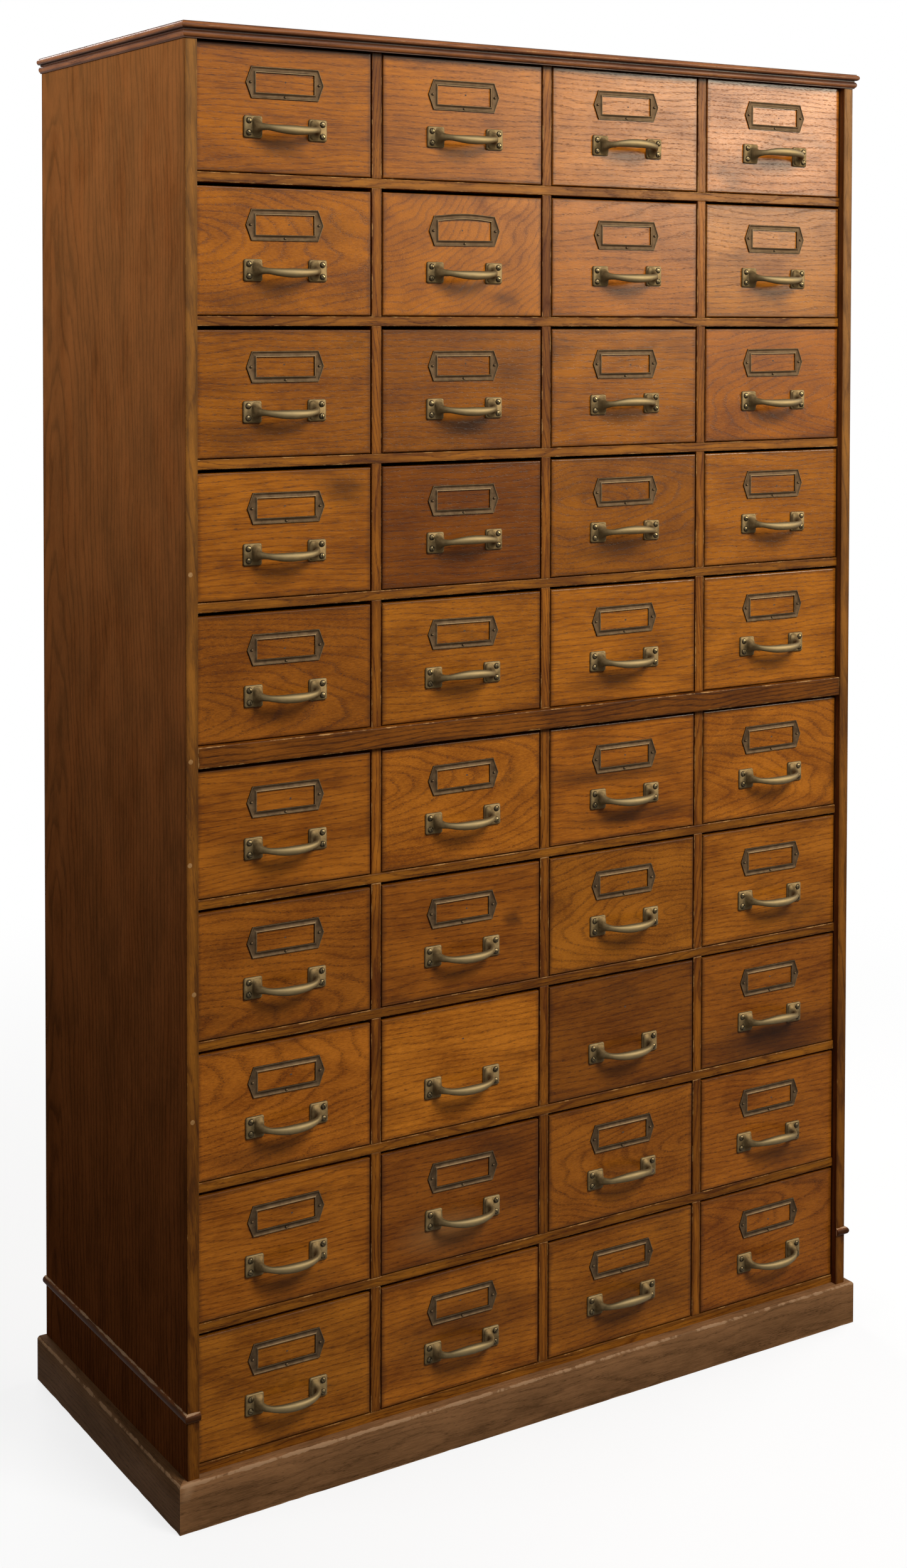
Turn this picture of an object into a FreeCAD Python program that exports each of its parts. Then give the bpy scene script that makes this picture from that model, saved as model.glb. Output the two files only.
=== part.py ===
import FreeCAD, Part
import Sketcher
import math
import os

# A tall cabinet of forty small drawers, four across and ten down. Rows are numbered from the
# top and columns from the left. X runs to the right, Y from the front to the back, Z up. The
# origin is on the floor, in the middle of the plinth's width and halfway between the front of
# the pulls and the back of the side panels.

ROWS = 10
ROWS_OVER_MID_RAIL = 5
COLUMNS = 4
BACK_BOARDS = 7

# Drawers, as (row, column), whose pull is mounted the other way up, and those with no holder.
TURNED_PULLS = {(1, 3), (1, 4), (3, 3), (4, 2), (4, 3), (5, 2), (8, 4), (9, 3), (9, 4), (10, 2), (10, 3)}
BARE_FRONTS = {(8, 2), (8, 3)}

SIZES = {
    # Drawer openings and what stands between them
    "opening_width": 244.0,
    "opening_height": 160.5,
    "divider_thick": 14.0,
    "divider_depth": 28.0,
    "rail_thick": 12.0,
    "rail_depth": 36.0,
    "mid_rail_height": 26.0,
    "mid_rail_recess": 1.0,
    "grid_recess": 9.0,
    # Side panels, top, bottom and back
    "side_thick": 16.0,
    "side_depth": 457.0,
    "top_thick": 16.0,
    "bottom_thick": 12.0,
    "bottom_rail_show": 11.5,
    "bottom_rail_drop": 28.0,
    "bottom_rail_thick": 20.0,
    "back_thick": 9.0,
    "back_rabbet": 8.0,
    "back_foot": 30.0,
    "back_tongue": 4.0,
    "back_tongue_thick": 3.0,
    "back_joint_gap": 0.3,
    # Runners and guides inside
    "runner_shelf": 15.0,
    "rear_rail_depth": 30.0,
    "guide_height": 18.0,
    # Mouldings
    "cornice_height": 20.0,
    "cornice_proud": 7.0,
    "cornice_fillet": 1.0,
    "cornice_step": 2.2,
    "lower_bead_height": 8.6,
    "lower_bead_rise": 2.6,
    "upper_bead_height": 7.6,
    "upper_bead_rise": 3.2,
    "plinth_height": 60.0,
    "plinth_side_thick": 13.0,
    "plinth_front_proud": 6.0,
    "plinth_bevel": 3.0,
    "bead_height": 11.5,
    "bead_proud": 5.0,
    "bead_foot": 131.0,
    # Drawer boxes
    "drawer_side_gap": 1.6,
    "drawer_top_gap": 6.5,
    "drawer_foot_gap": 1.0,
    "drawer_slide_gap": 0.3,
    "drawer_stop_gap": 0.3,
    "drawer_front_thick": 18.0,
    "drawer_front_lip": 7.0,
    "drawer_front_bevel": 1.6,
    "drawer_side_thick": 10.0,
    "drawer_side_height": 138.0,
    "drawer_back_thick": 10.0,
    "drawer_back_drop": 8.0,
    "drawer_bottom_thick": 5.0,
    "drawer_bottom_raise": 6.0,
    "groove_depth": 5.0,
    "groove_gap": 0.1,
    # Cast pull
    "pull_over_foot": 55.0,
    "pull_width": 114.0,
    "plate_width": 25.0,
    "plate_height": 27.0,
    "plate_thick": 3.0,
    "plate_bevel": 1.5,
    "bow_root_inset": 12.5,
    "bow_root_thick": 21.0,
    "bow_neck_inset": 15.0,
    "bow_neck_reach": 9.0,
    "bow_neck_thick": 10.4,
    "bow_shoulder_inset": 22.5,
    "bow_shoulder_reach": 20.0,
    "bow_shoulder_droop": 1.75,
    "bow_shoulder_thick": 8.6,
    "bow_quarter_inset": 38.0,
    "bow_quarter_reach": 24.8,
    "bow_quarter_droop": 3.15,
    "bow_quarter_thick": 9.4,
    "bow_reach": 26.0,
    "bow_thick": 11.2,
    "bow_droop": 3.5,
    # Label holder
    "holder_over_foot": 109.5,
    "holder_width": 107.0,
    "holder_edge": 92.0,
    "holder_height": 38.5,
    "holder_thick": 1.8,
    "window_width": 80.0,
    "window_height": 24.0,
    "lip_width": 2.0,
    "lip_proud": 1.4,
}

doc = FreeCAD.newDocument("drawer_cabinet")
sheet = doc.addObject("Spreadsheet::Sheet", "Sizes")
for line, (alias, value) in enumerate(SIZES.items(), start=1):
    sheet.set(f"A{line}", alias.replace("_", " "))
    sheet.set(f"B{line}", str(value))
    sheet.setAlias(f"B{line}", alias)
doc.recompute()

nodes = []


def term(text):
    """A size expression: every word that names a cell is read from the sheet."""
    words = []
    for word in text.replace("(", " ( ").replace(")", " ) ").split():
        words.append("Sizes." + word if word in SIZES else word)
    return "(" + " ".join(words) + ")"


def value_of(text):
    return float(sheet.evalExpression(term(text)))


def bind(thing, **properties):
    for name, text in properties.items():
        thing.setExpression(name.replace("__", "."), term(text))


def put(thing, x="0", y="0", z="0"):
    bind(thing, Placement__Base__x=x, Placement__Base__y=y, Placement__Base__z=z)


def keep(thing, label):
    """Marks a sub-part: its label is the name of its file."""
    thing.Label = label
    nodes.append(thing)
    return thing


# Places that several pieces share, all worked out from the sheet

INNER_WIDTH = f"({COLUMNS} * opening_width + {COLUMNS - 1} * divider_thick)"
HALF_INNER = f"({INNER_WIDTH} / 2)"
HALF_BODY = f"({HALF_INNER} + side_thick)"
PULL_REACH = "(bow_reach + bow_thick / 2)"
FRONT_Y = f"(({PULL_REACH} - grid_recess - side_depth) / 2)"
GRID_Y = f"({FRONT_Y} + grid_recess)"
REAR_Y = f"({FRONT_Y} + side_depth)"
BACK_Y = f"({REAR_Y} - back_thick)"
BASE_Z = "(plinth_height + bottom_rail_show)"


def row_z(row):
    """Height of the shelf line that the drawers of a row stand on."""
    below = ROWS - row
    text = f"{BASE_Z} + {below} * (opening_height + rail_thick)"
    if row <= ROWS_OVER_MID_RAIL:
        text += " + mid_rail_height - rail_thick"
    return f"({text})"


def column_x(column):
    """Middle of a column of drawers."""
    step = column - (COLUMNS + 1) / 2
    return f"({step} * (opening_width + divider_thick))"


def divider_x(index):
    """Middle of the dividers between column index and the next one."""
    step = index - COLUMNS / 2
    return f"({step} * (opening_width + divider_thick))"


TOP_Z = f"({row_z(1)} + opening_height)"
CROWN_Z = f"({TOP_Z} + top_thick)"


def board(name, width, depth, height, x="0", y="0", z="0"):
    """A plain board: x is its middle, y its front and z its underside."""
    box = doc.addObject("Part::Box", name)
    bind(box, Length=width, Width=depth, Height=height)
    put(box, f"{x} - ({width}) / 2", y, z)
    return box


def group(name, pieces):
    compound = doc.addObject("Part::Compound", name)
    compound.Links = pieces
    return compound


def cut(name, base, tool):
    result = doc.addObject("Part::Cut", name)
    result.Base = base
    result.Tool = tool
    return result


def arc_through(start, end, radius):
    """Arc from start to end that bulges to the right of the way from start to end."""
    chord = end - start
    middle = (start + end) / 2
    rise = math.sqrt(radius ** 2 - (chord.Length / 2) ** 2)
    left = FreeCAD.Vector(-chord.y, chord.x, 0).normalize()
    centre = middle + left * rise
    first = math.atan2(start.y - centre.y, start.x - centre.x)
    last = math.atan2(end.y - centre.y, end.x - centre.x)
    circle = Part.Circle(centre, FreeCAD.Vector(0, 0, 1), radius)
    return Part.ArcOfCircle(circle, first, last)


def draw(sketch, corners):
    """Closes an outline. A corner is (x, y), or (x, y, radius) where an arc starts there."""
    first = sketch.GeometryCount
    points = [FreeCAD.Vector(value_of(c[0]), value_of(c[1]), 0) for c in corners]
    count = len(corners)
    for i, corner in enumerate(corners):
        start = points[i]
        end = points[(i + 1) % count]
        if len(corner) == 3:
            sketch.addGeometry(arc_through(start, end, value_of(corner[2])), False)
        else:
            sketch.addGeometry(Part.LineSegment(start, end), False)
    for i in range(count):
        sketch.addConstraint(Sketcher.Constraint("Coincident", first + i, 2, first + (i + 1) % count, 1))
    for i, corner in enumerate(corners):
        for way, text in (("DistanceX", corner[0]), ("DistanceY", corner[1])):
            if text == "0":
                axis = -2 if way == "DistanceX" else -1
                sketch.addConstraint(Sketcher.Constraint("PointOnObject", first + i, 1, axis))
                continue
            size = value_of(text)
            index = sketch.addConstraint(Sketcher.Constraint(way, -1, 1, first + i, 1, size))
            sketch.setExpression(f"Constraints[{index}]", term(text))
        if len(corner) == 3:
            size = value_of(corner[2])
            index = sketch.addConstraint(Sketcher.Constraint("Radius", first + i, size))
            sketch.setExpression(f"Constraints[{index}]", term(corner[2]))


def profile(name, plane, *outlines):
    """A body with one sketch on its own origin plane."""
    body = doc.addObject("PartDesign::Body", name)
    sketch = body.newObject("Sketcher::SketchObject", name + "_outline")
    sketch.AttachmentSupport = [(origin_plane(body, plane), "")]
    sketch.MapMode = "FlatFace"
    doc.recompute()
    for corners in outlines:
        draw(sketch, corners)
    return body, sketch


def origin_plane(body, role):
    return next(f for f in body.Origin.OriginFeatures if f.Role == role + "_Plane")


def pad(body, sketch, length, reverse=False):
    feature = body.newObject("PartDesign::Pad", sketch.Name + "_pad")
    feature.Profile = sketch
    feature.Reversed = reverse
    bind(feature, Length=length)
    doc.recompute()
    return feature


# Side panels: one board from the floor up, notched at the foot for the front plinth board and
# rabbeted down its back edge for the back boards.

def side_panel(label, hand):
    outline = [
        ("grid_recess", "0"),
        ("side_depth", "0"),
        ("side_depth", TOP_Z),
        ("0", TOP_Z),
        ("0", "plinth_height"),
        ("grid_recess", "plinth_height"),
    ]
    body, sketch = profile(label + "_board", "YZ", outline)
    pad(body, sketch, "side_thick")
    inner = "side_thick - back_rabbet / 2" if hand < 0 else "back_rabbet / 2"
    rabbet = board(label + "_rabbet", "back_rabbet", "back_thick", TOP_Z, inner, "side_depth - back_thick")
    panel = cut(label, body, rabbet)
    left = f"-1 * {HALF_BODY}" if hand < 0 else HALF_INNER
    put(panel, left, FRONT_Y)
    return keep(panel, label)


side_panel("left_side", -1)
side_panel("right_side", 1)

# Top and bottom boards. The top lies on the side panels and the bottom is held between them.

keep(board("top_board", f"2 * {HALF_BODY}", "side_depth", "top_thick", "0", FRONT_Y, TOP_Z), "top_board")

bottom_y = f"{GRID_Y} + bottom_rail_thick"
bottom_depth = "side_depth - grid_recess - bottom_rail_thick - back_thick"
bottom_z = f"{BASE_Z} - bottom_thick"
bottom_board = board("bottom_board", INNER_WIDTH, bottom_depth, "bottom_thick", "0", bottom_y, bottom_z)
keep(bottom_board, "bottom_board")

# Front rails: a bottom rail over the plinth, a thick one between the two banks of five rows,
# and thin ones between all other rows.

bottom_rail_height = "bottom_rail_show + bottom_rail_drop"
keep(board("bottom_rail", INNER_WIDTH, "bottom_rail_thick", bottom_rail_height, "0", GRID_Y,
           f"{BASE_Z} - ({bottom_rail_height})"), "bottom_rail")

mid_rail_depth = "grid_recess - mid_rail_recess + rail_depth"
mid_rail_z = f"{row_z(ROWS_OVER_MID_RAIL)} - mid_rail_height"
keep(board("mid_rail", INNER_WIDTH, mid_rail_depth, "mid_rail_height", "0", f"{FRONT_Y} + mid_rail_recess",
           mid_rail_z), "mid_rail")

rails = []
rear_rails = []
for row in range(1, ROWS):
    under = f"{row_z(row)} - rail_thick"
    if row != ROWS_OVER_MID_RAIL:
        rails.append(board(f"front_rail_{row}", INNER_WIDTH, "rail_depth", "rail_thick", "0", GRID_Y, under))
    rear_rails.append(board(f"rear_rail_{row}", INNER_WIDTH, "rear_rail_depth", "rail_thick", "0",
                            f"{BACK_Y} - rear_rail_depth", under))
keep(group("front_rails", rails), "front_rails")
keep(group("rear_rails", rear_rails), "rear_rails")

# Short uprights between neighbouring drawers at the front, and low guide strips behind them.

dividers = []
guides = []
guide_y = f"{GRID_Y} + divider_depth"
guide_depth = "side_depth - grid_recess - divider_depth - back_thick"
for row in range(1, ROWS + 1):
    for gap in range(1, COLUMNS):
        dividers.append(board(f"divider_{row}_{gap}", "divider_thick", "divider_depth", "opening_height",
                              divider_x(gap), GRID_Y, row_z(row)))
        guides.append(board(f"guide_{row}_{gap}", "divider_thick", guide_depth, "guide_height",
                            divider_x(gap), guide_y, row_z(row)))
keep(group("front_dividers", dividers), "front_dividers")
keep(group("drawer_guides", guides), "drawer_guides")

# Runners under the drawers' sides, from the front rails to the rear rails. The ones between two
# columns carry a side of each drawer.

runners = []
runner_y = f"{GRID_Y} + rail_depth"
runner_depth = "side_depth - grid_recess - rail_depth - rear_rail_depth - back_thick"
outer_width = "drawer_side_gap + runner_shelf"
inner_width = "divider_thick + 2 * runner_shelf"
for row in range(1, ROWS):
    under = f"{row_z(row)} - rail_thick"
    for gap in range(COLUMNS + 1):
        width = inner_width
        middle = divider_x(gap)
        if gap == 0:
            width = outer_width
            middle = f"({outer_width}) / 2 - {HALF_INNER}"
        if gap == COLUMNS:
            width = outer_width
            middle = f"{HALF_INNER} - ({outer_width}) / 2"
        runners.append(board(f"runner_{row}_{gap}", width, runner_depth, "rail_thick",
                             middle, runner_y, under))
keep(group("drawer_runners", runners), "drawer_runners")

# Back: upright boards with tongues and grooves, nailed into the side panels' rabbets.

back_width = f"(({INNER_WIDTH} + 2 * back_rabbet) / {BACK_BOARDS})"
back_height = f"{TOP_Z} - back_foot"
backs = []
for index in range(BACK_BOARDS):
    middle = f"({index - (BACK_BOARDS - 1) / 2} * {back_width})"
    piece = board(f"back_board_{index}", f"{back_width} - back_joint_gap", "back_thick", back_height,
                  middle, BACK_Y, "back_foot")
    tongue_y = f"{BACK_Y} + (back_thick - back_tongue_thick) / 2"
    if index > 0:
        groove = board(f"back_groove_{index}", "2 * (back_tongue + back_joint_gap)",
                       "back_tongue_thick + 2 * groove_gap", back_height,
                       f"{middle} - ({back_width} - back_joint_gap) / 2",
                       f"{tongue_y} - groove_gap", "back_foot")
        piece = cut(f"back_grooved_{index}", piece, groove)
    if index < BACK_BOARDS - 1:
        tongue = board(f"back_tongue_{index}", "2 * back_tongue", "back_tongue_thick", back_height,
                       f"{middle} + ({back_width} - back_joint_gap) / 2", tongue_y, "back_foot")
        joined = doc.addObject("Part::Fuse", f"back_tongued_{index}")
        joined.Base = piece
        joined.Tool = tongue
        piece = joined
    backs.append(piece)
keep(group("back_boards", backs), "back_boards")


# Mouldings. Each profile runs outwards in X and up in Z; a length of it is turned into place and
# meets its neighbour in a mitre, cut by the plan of the piece.

def moulding(name, corners, length, turn, x, y, plan, z, height):
    """A length of a profile, cut to its plan. turn is in degrees about the upright."""
    bar, sketch = profile(name + "_bar", "XZ", corners)
    pad(bar, sketch, length, reverse=True)
    bar.Placement = FreeCAD.Placement(FreeCAD.Vector(), FreeCAD.Rotation(FreeCAD.Vector(0, 0, 1), turn))
    put(bar, x, y, z)
    prism, sketch = profile(name + "_plan", "XY", plan)
    pad(prism, sketch, height)
    put(prism, "0", "0", z)
    piece = doc.addObject("Part::Common", name)
    piece.Base = bar
    piece.Tool = prism
    return piece


def side_lengths(name, corners, proud, z, height):
    """The left and right lengths, as long as the side panels and mitred at the front."""
    made = []
    for hand, word in ((-1, "left"), (1, "right")):
        inner = f"{hand} * {HALF_BODY}"
        outer = f"{hand} * ({HALF_BODY} + {proud})"
        plan = [(inner, FRONT_Y), (outer, f"{FRONT_Y} - {proud}"), (outer, REAR_Y), (inner, REAR_Y)]
        start = f"{FRONT_Y} - {proud}" if hand > 0 else REAR_Y
        turn = 0 if hand > 0 else 180
        made.append(moulding(f"{name}_{word}", corners, f"side_depth + {proud}", turn, inner, start,
                             plan, z, height))
    return made


def bead_radius(height, rise):
    return f"((({height}) * ({height}) / 4 + ({rise}) * ({rise})) / (2 * ({rise})))"


# Cornice: two stacked beads, the upper one standing further out, with a groove between them.

cornice_z = f"{CROWN_Z} - cornice_height"
lower_face = "cornice_proud - upper_bead_rise - cornice_step"
upper_face = "cornice_proud - upper_bead_rise"
lower_top = "cornice_fillet + lower_bead_height"
upper_foot = "cornice_height - cornice_fillet - upper_bead_height"
cornice = [
    ("0", "0"),
    (lower_face, "0"),
    (lower_face, "cornice_fillet", bead_radius("lower_bead_height", "lower_bead_rise")),
    (lower_face, lower_top),
    (lower_face, upper_foot),
    (upper_face, upper_foot, bead_radius("upper_bead_height", "upper_bead_rise")),
    (upper_face, "cornice_height - cornice_fillet"),
    (upper_face, "cornice_height"),
    ("0", "cornice_height"),
]
for piece, label in zip(side_lengths("cornice", cornice, "cornice_proud", cornice_z, "cornice_height"),
                        ("cornice_left", "cornice_right")):
    keep(piece, label)
reach = f"({HALF_BODY} + cornice_proud)"
plan = [
    (f"-1 * {reach}", f"{FRONT_Y} - cornice_proud"),
    (reach, f"{FRONT_Y} - cornice_proud"),
    (HALF_BODY, FRONT_Y),
    (f"-1 * {HALF_BODY}", FRONT_Y),
]
keep(moulding("cornice_front", cornice, f"2 * {reach}", -90, f"-1 * {reach}", FRONT_Y, plan, cornice_z,
              "cornice_height"), "cornice_front")

# Plinth: boards with a bevelled top edge, planted on the side panels and let into their notches
# at the front, mitred where they meet.


def plinth_profile(thick):
    return [
        ("0", "0"),
        (thick, "0"),
        (thick, "plinth_height - plinth_bevel"),
        (f"{thick} - plinth_bevel", "plinth_height"),
        ("0", "plinth_height"),
    ]


plinth_x = f"({HALF_BODY} + plinth_side_thick)"
plinth_y = f"({FRONT_Y} - plinth_front_proud)"
front_thick = "plinth_front_proud + grid_recess"
plan = [
    (f"-1 * {plinth_x}", plinth_y),
    (plinth_x, plinth_y),
    (HALF_BODY, GRID_Y),
    (f"-1 * {HALF_BODY}", GRID_Y),
]
keep(moulding("plinth_front", plinth_profile(front_thick), f"2 * {plinth_x}", -90, f"-1 * {plinth_x}",
              GRID_Y, plan, "0", "plinth_height"), "plinth_front")
for hand, label in ((-1, "plinth_left"), (1, "plinth_right")):
    inner = f"{hand} * {HALF_BODY}"
    outer = f"{hand} * {plinth_x}"
    plan = [(inner, GRID_Y), (outer, plinth_y), (outer, REAR_Y), (inner, REAR_Y)]
    start = plinth_y if hand > 0 else REAR_Y
    turn = 0 if hand > 0 else 180
    keep(moulding(label, plinth_profile("plinth_side_thick"), "side_depth + plinth_front_proud", turn, inner,
                  start, plan, "0", "plinth_height"), label)

# Bead moulding across each side panel, with a mitred return over the panel's front edge.

half_round = [("0", "0", bead_radius("bead_height", "bead_proud")), ("0", "bead_height")]
strips = side_lengths("bead", half_round, "bead_proud", "bead_foot", "bead_height")
for hand, strip, label in ((-1, strips[0], "left_bead"), (1, strips[1], "right_bead")):
    outer = f"{hand} * ({HALF_BODY} + bead_proud)"
    inner = f"{hand} * {HALF_INNER}"
    plan = [
        (outer, f"{FRONT_Y} - bead_proud"),
        (f"{hand} * {HALF_BODY}", FRONT_Y),
        (inner, FRONT_Y),
        (inner, f"{FRONT_Y} - bead_proud"),
    ]
    start = outer if hand < 0 else inner
    turned = moulding(f"{label}_return", half_round, "side_thick + bead_proud", -90, start, FRONT_Y, plan,
                      "bead_foot", "bead_height")
    keep(group(label, [strip, turned]), label)

# Drawer parts, made once, about the middle of the drawer's front face at the shelf line.

HALF_FRONT = "(opening_width / 2 - drawer_side_gap)"
HALF_INSIDE = f"({HALF_FRONT} - drawer_side_thick)"
FRONT_HEIGHT = "(opening_height - drawer_top_gap - drawer_foot_gap)"
DRAWER_LENGTH = "(side_depth - grid_recess - back_thick - drawer_stop_gap)"
BOTTOM_Z = "(drawer_slide_gap + drawer_bottom_raise)"
GROOVE = "(drawer_bottom_thick + 2 * groove_gap)"


def drawer_front():
    """Front board: rabbeted at both ends for the sides, grooved for the bottom, edges eased."""
    plan = [
        (f"-1 * {HALF_FRONT}", "0"),
        (HALF_FRONT, "0"),
        (HALF_FRONT, "drawer_front_lip"),
        (HALF_INSIDE, "drawer_front_lip"),
        (HALF_INSIDE, "drawer_front_thick"),
        (f"-1 * {HALF_INSIDE}", "drawer_front_thick"),
        (f"-1 * {HALF_INSIDE}", "drawer_front_lip"),
        (f"-1 * {HALF_FRONT}", "drawer_front_lip"),
    ]
    body, sketch = profile("drawer_front", "XY", plan)
    blank = pad(body, sketch, FRONT_HEIGHT)
    face_edges = []
    for number, edge in enumerate(blank.Shape.Edges, start=1):
        if all(abs(corner.Point.y) < 0.001 for corner in edge.Vertexes):
            face_edges.append(f"Edge{number}")
    eased = body.newObject("PartDesign::Chamfer", "drawer_front_eased")
    eased.Base = (blank, face_edges)
    bind(eased, Size="drawer_front_bevel")
    groove = body.newObject("PartDesign::SubtractiveBox", "drawer_front_groove")
    bind(groove, Length=f"2 * {HALF_INSIDE}", Width="groove_depth", Height=GROOVE)
    put(groove, f"-1 * {HALF_INSIDE}", "drawer_front_thick - groove_depth",
        f"{BOTTOM_Z} - groove_gap - drawer_foot_gap")
    put(body, "0", "0", "drawer_foot_gap")
    return body


def drawer_side():
    """Left side: a board with a groove along the inside for the bottom."""
    low = "(drawer_bottom_raise - groove_gap)"
    section = [
        ("0", "0"),
        ("drawer_side_thick", "0"),
        ("drawer_side_thick", low),
        ("drawer_side_thick - groove_depth", low),
        ("drawer_side_thick - groove_depth", f"{low} + {GROOVE}"),
        ("drawer_side_thick", f"{low} + {GROOVE}"),
        ("drawer_side_thick", "drawer_side_height"),
        ("0", "drawer_side_height"),
    ]
    body, sketch = profile("drawer_side_left", "XZ", section)
    pad(body, sketch, f"{DRAWER_LENGTH} - drawer_front_lip", reverse=True)
    put(body, f"-1 * {HALF_FRONT}", "drawer_front_lip", "drawer_slide_gap")
    return body


def pull_plate():
    """Screw plate with sloping edges, at the left end of the pull."""
    plate = doc.addObject("Part::Wedge", "pull_plate")
    bind(plate, Xmin="plate_bevel - plate_width / 2", Xmax="plate_width / 2 - plate_bevel",
         Zmin="plate_bevel - plate_height / 2", Zmax="plate_height / 2 - plate_bevel",
         X2min="-1 * plate_width / 2", X2max="plate_width / 2",
         Z2min="-1 * plate_height / 2", Z2max="plate_height / 2",
         Ymin="-1 * plate_thick", Ymax="0")
    put(plate, "(plate_width - pull_width) / 2")
    return plate


def pull_boss():
    """Rises from the plate and narrows to the neck of the grip."""
    boss = doc.addObject("Part::Wedge", "pull_boss")
    bind(boss, Xmin="bow_neck_inset - bow_neck_thick / 2", Xmax="bow_neck_inset + bow_neck_thick / 2",
         Zmin="-1 * bow_neck_thick / 2", Zmax="bow_neck_thick / 2",
         X2min="bow_root_inset - bow_root_thick / 2", X2max="bow_root_inset + bow_root_thick / 2",
         Z2min="-1 * bow_root_thick / 2", Z2max="bow_root_thick / 2",
         Ymin="-1 * (bow_neck_reach + bow_neck_thick / 2)", Ymax="-1 * plate_thick / 2")
    put(boss, "-1 * pull_width / 2")
    return boss


def pull_span(name, start, end):
    """Length of the grip between two sections, each (inset from the end, reach, droop, thickness)."""
    span = doc.addObject("Part::Wedge", name)
    span.Placement = FreeCAD.Placement(FreeCAD.Vector(), FreeCAD.Rotation(FreeCAD.Vector(0, 0, 1), -90))
    inset, reach, droop, thick = start
    bind(span, Ymin=inset, Xmin=f"{reach} - {thick} / 2", Xmax=f"{reach} + {thick} / 2",
         Zmin=f"-1 * {droop} - {thick} / 2", Zmax=f"-1 * {droop} + {thick} / 2")
    inset, reach, droop, thick = end
    bind(span, Ymax=inset, X2min=f"{reach} - {thick} / 2", X2max=f"{reach} + {thick} / 2",
         Z2min=f"-1 * {droop} - {thick} / 2", Z2max=f"-1 * {droop} + {thick} / 2")
    put(span, "-1 * pull_width / 2")
    return span


def pull():
    """One casting: its left half with plate, boss and grip, and the same mirrored."""
    neck = ("bow_neck_inset", "bow_neck_reach", "0", "bow_neck_thick")
    shoulder = ("bow_shoulder_inset", "bow_shoulder_reach", "bow_shoulder_droop", "bow_shoulder_thick")
    quarter = ("bow_quarter_inset", "bow_quarter_reach", "bow_quarter_droop", "bow_quarter_thick")
    middle = ("(pull_width / 2)", "bow_reach", "bow_droop", "bow_thick")
    half = doc.addObject("Part::MultiFuse", "pull_half")
    half.Shapes = [
        pull_plate(),
        pull_boss(),
        pull_span("bow_shoulder", neck, shoulder),
        pull_span("bow_quarter", shoulder, quarter),
        pull_span("bow_middle", quarter, middle),
    ]
    other = doc.addObject("Part::Mirroring", "pull_other_half")
    other.Source = half
    other.Normal = FreeCAD.Vector(1, 0, 0)
    casting = doc.addObject("Part::MultiFuse", "pull_casting")
    casting.Shapes = [half, other]
    return casting


def label_holder():
    """Six-sided frame with a window, and a raised lip round the window."""
    outer = [
        ("-1 * holder_width / 2", "0"),
        ("-1 * holder_edge / 2", "-1 * holder_height / 2"),
        ("holder_edge / 2", "-1 * holder_height / 2"),
        ("holder_width / 2", "0"),
        ("holder_edge / 2", "holder_height / 2"),
        ("-1 * holder_edge / 2", "holder_height / 2"),
    ]
    window = rectangle("window_width / 2", "window_height / 2")
    rim = rectangle("window_width / 2 + lip_width", "window_height / 2 + lip_width")
    body, sketch = profile("label_holder", "XZ", outer, window)
    pad(body, sketch, "holder_thick")
    lip = body.newObject("Sketcher::SketchObject", "label_holder_lip")
    lip.AttachmentSupport = [(origin_plane(body, "XZ"), "")]
    lip.MapMode = "FlatFace"
    doc.recompute()
    draw(lip, rim)
    draw(lip, window)
    pad(body, lip, "holder_thick + lip_proud")
    put(body, "0", "0", "drawer_foot_gap + holder_over_foot")
    return body


def rectangle(half_width, half_height):
    return [
        (f"-1 * ({half_width})", f"-1 * ({half_height})"),
        (half_width, f"-1 * ({half_height})"),
        (half_width, half_height),
        (f"-1 * ({half_width})", half_height),
    ]


front = drawer_front()
left = drawer_side()
right = doc.addObject("Part::Mirroring", "drawer_side_right")
right.Source = left
right.Normal = FreeCAD.Vector(1, 0, 0)
bottom_top = "drawer_bottom_raise + drawer_bottom_thick + groove_gap"
back = board("drawer_back", f"2 * {HALF_INSIDE}", "drawer_back_thick",
             f"drawer_side_height - drawer_back_drop - ({bottom_top})",
             "0", f"{DRAWER_LENGTH} - drawer_back_thick", f"drawer_slide_gap + {bottom_top}")
bottom = board("drawer_bottom", f"2 * ({HALF_INSIDE} + groove_depth - groove_gap)",
               f"{DRAWER_LENGTH} - drawer_front_thick + groove_depth - groove_gap", "drawer_bottom_thick",
               "0", "drawer_front_thick - groove_depth + groove_gap", BOTTOM_Z)
holder = label_holder()
casting = pull()
upright_pull = group("pull_upright", [casting])
turned_pull = group("pull_turned", [casting])
turned_pull.Placement = FreeCAD.Placement(FreeCAD.Vector(), FreeCAD.Rotation(FreeCAD.Vector(0, 1, 0), 180))
for hung in (upright_pull, turned_pull):
    put(hung, "0", "0", "drawer_foot_gap + pull_over_foot")

# The forty drawers

for row in range(1, ROWS + 1):
    for column in range(1, COLUMNS + 1):
        pieces = [front, left, right, back, bottom]
        pieces.append(turned_pull if (row, column) in TURNED_PULLS else upright_pull)
        if (row, column) not in BARE_FRONTS:
            pieces.append(holder)
        name = f"drawer_r{row:02d}_c{column}"
        drawer = group(name, pieces)
        put(drawer, column_x(column), GRID_Y, row_z(row))
        keep(drawer, name)

doc.recompute()

for thing in doc.Objects:
    if "Invalid" in thing.State or "Error" in thing.State:
        raise RuntimeError(f"{thing.Label} did not build: {thing.State}")
for node in nodes:
    if node.Shape.isNull() or not node.Shape.isValid():
        raise RuntimeError(f"{node.Label} has no valid shape")

os.makedirs("parts", exist_ok=True)
for node in nodes:
    node.Shape.exportStep(os.path.join("parts", node.Label + ".step"))
print(len(nodes), "sub-parts,", sum(len(node.Shape.Solids) for node in nodes), "solids")
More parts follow.
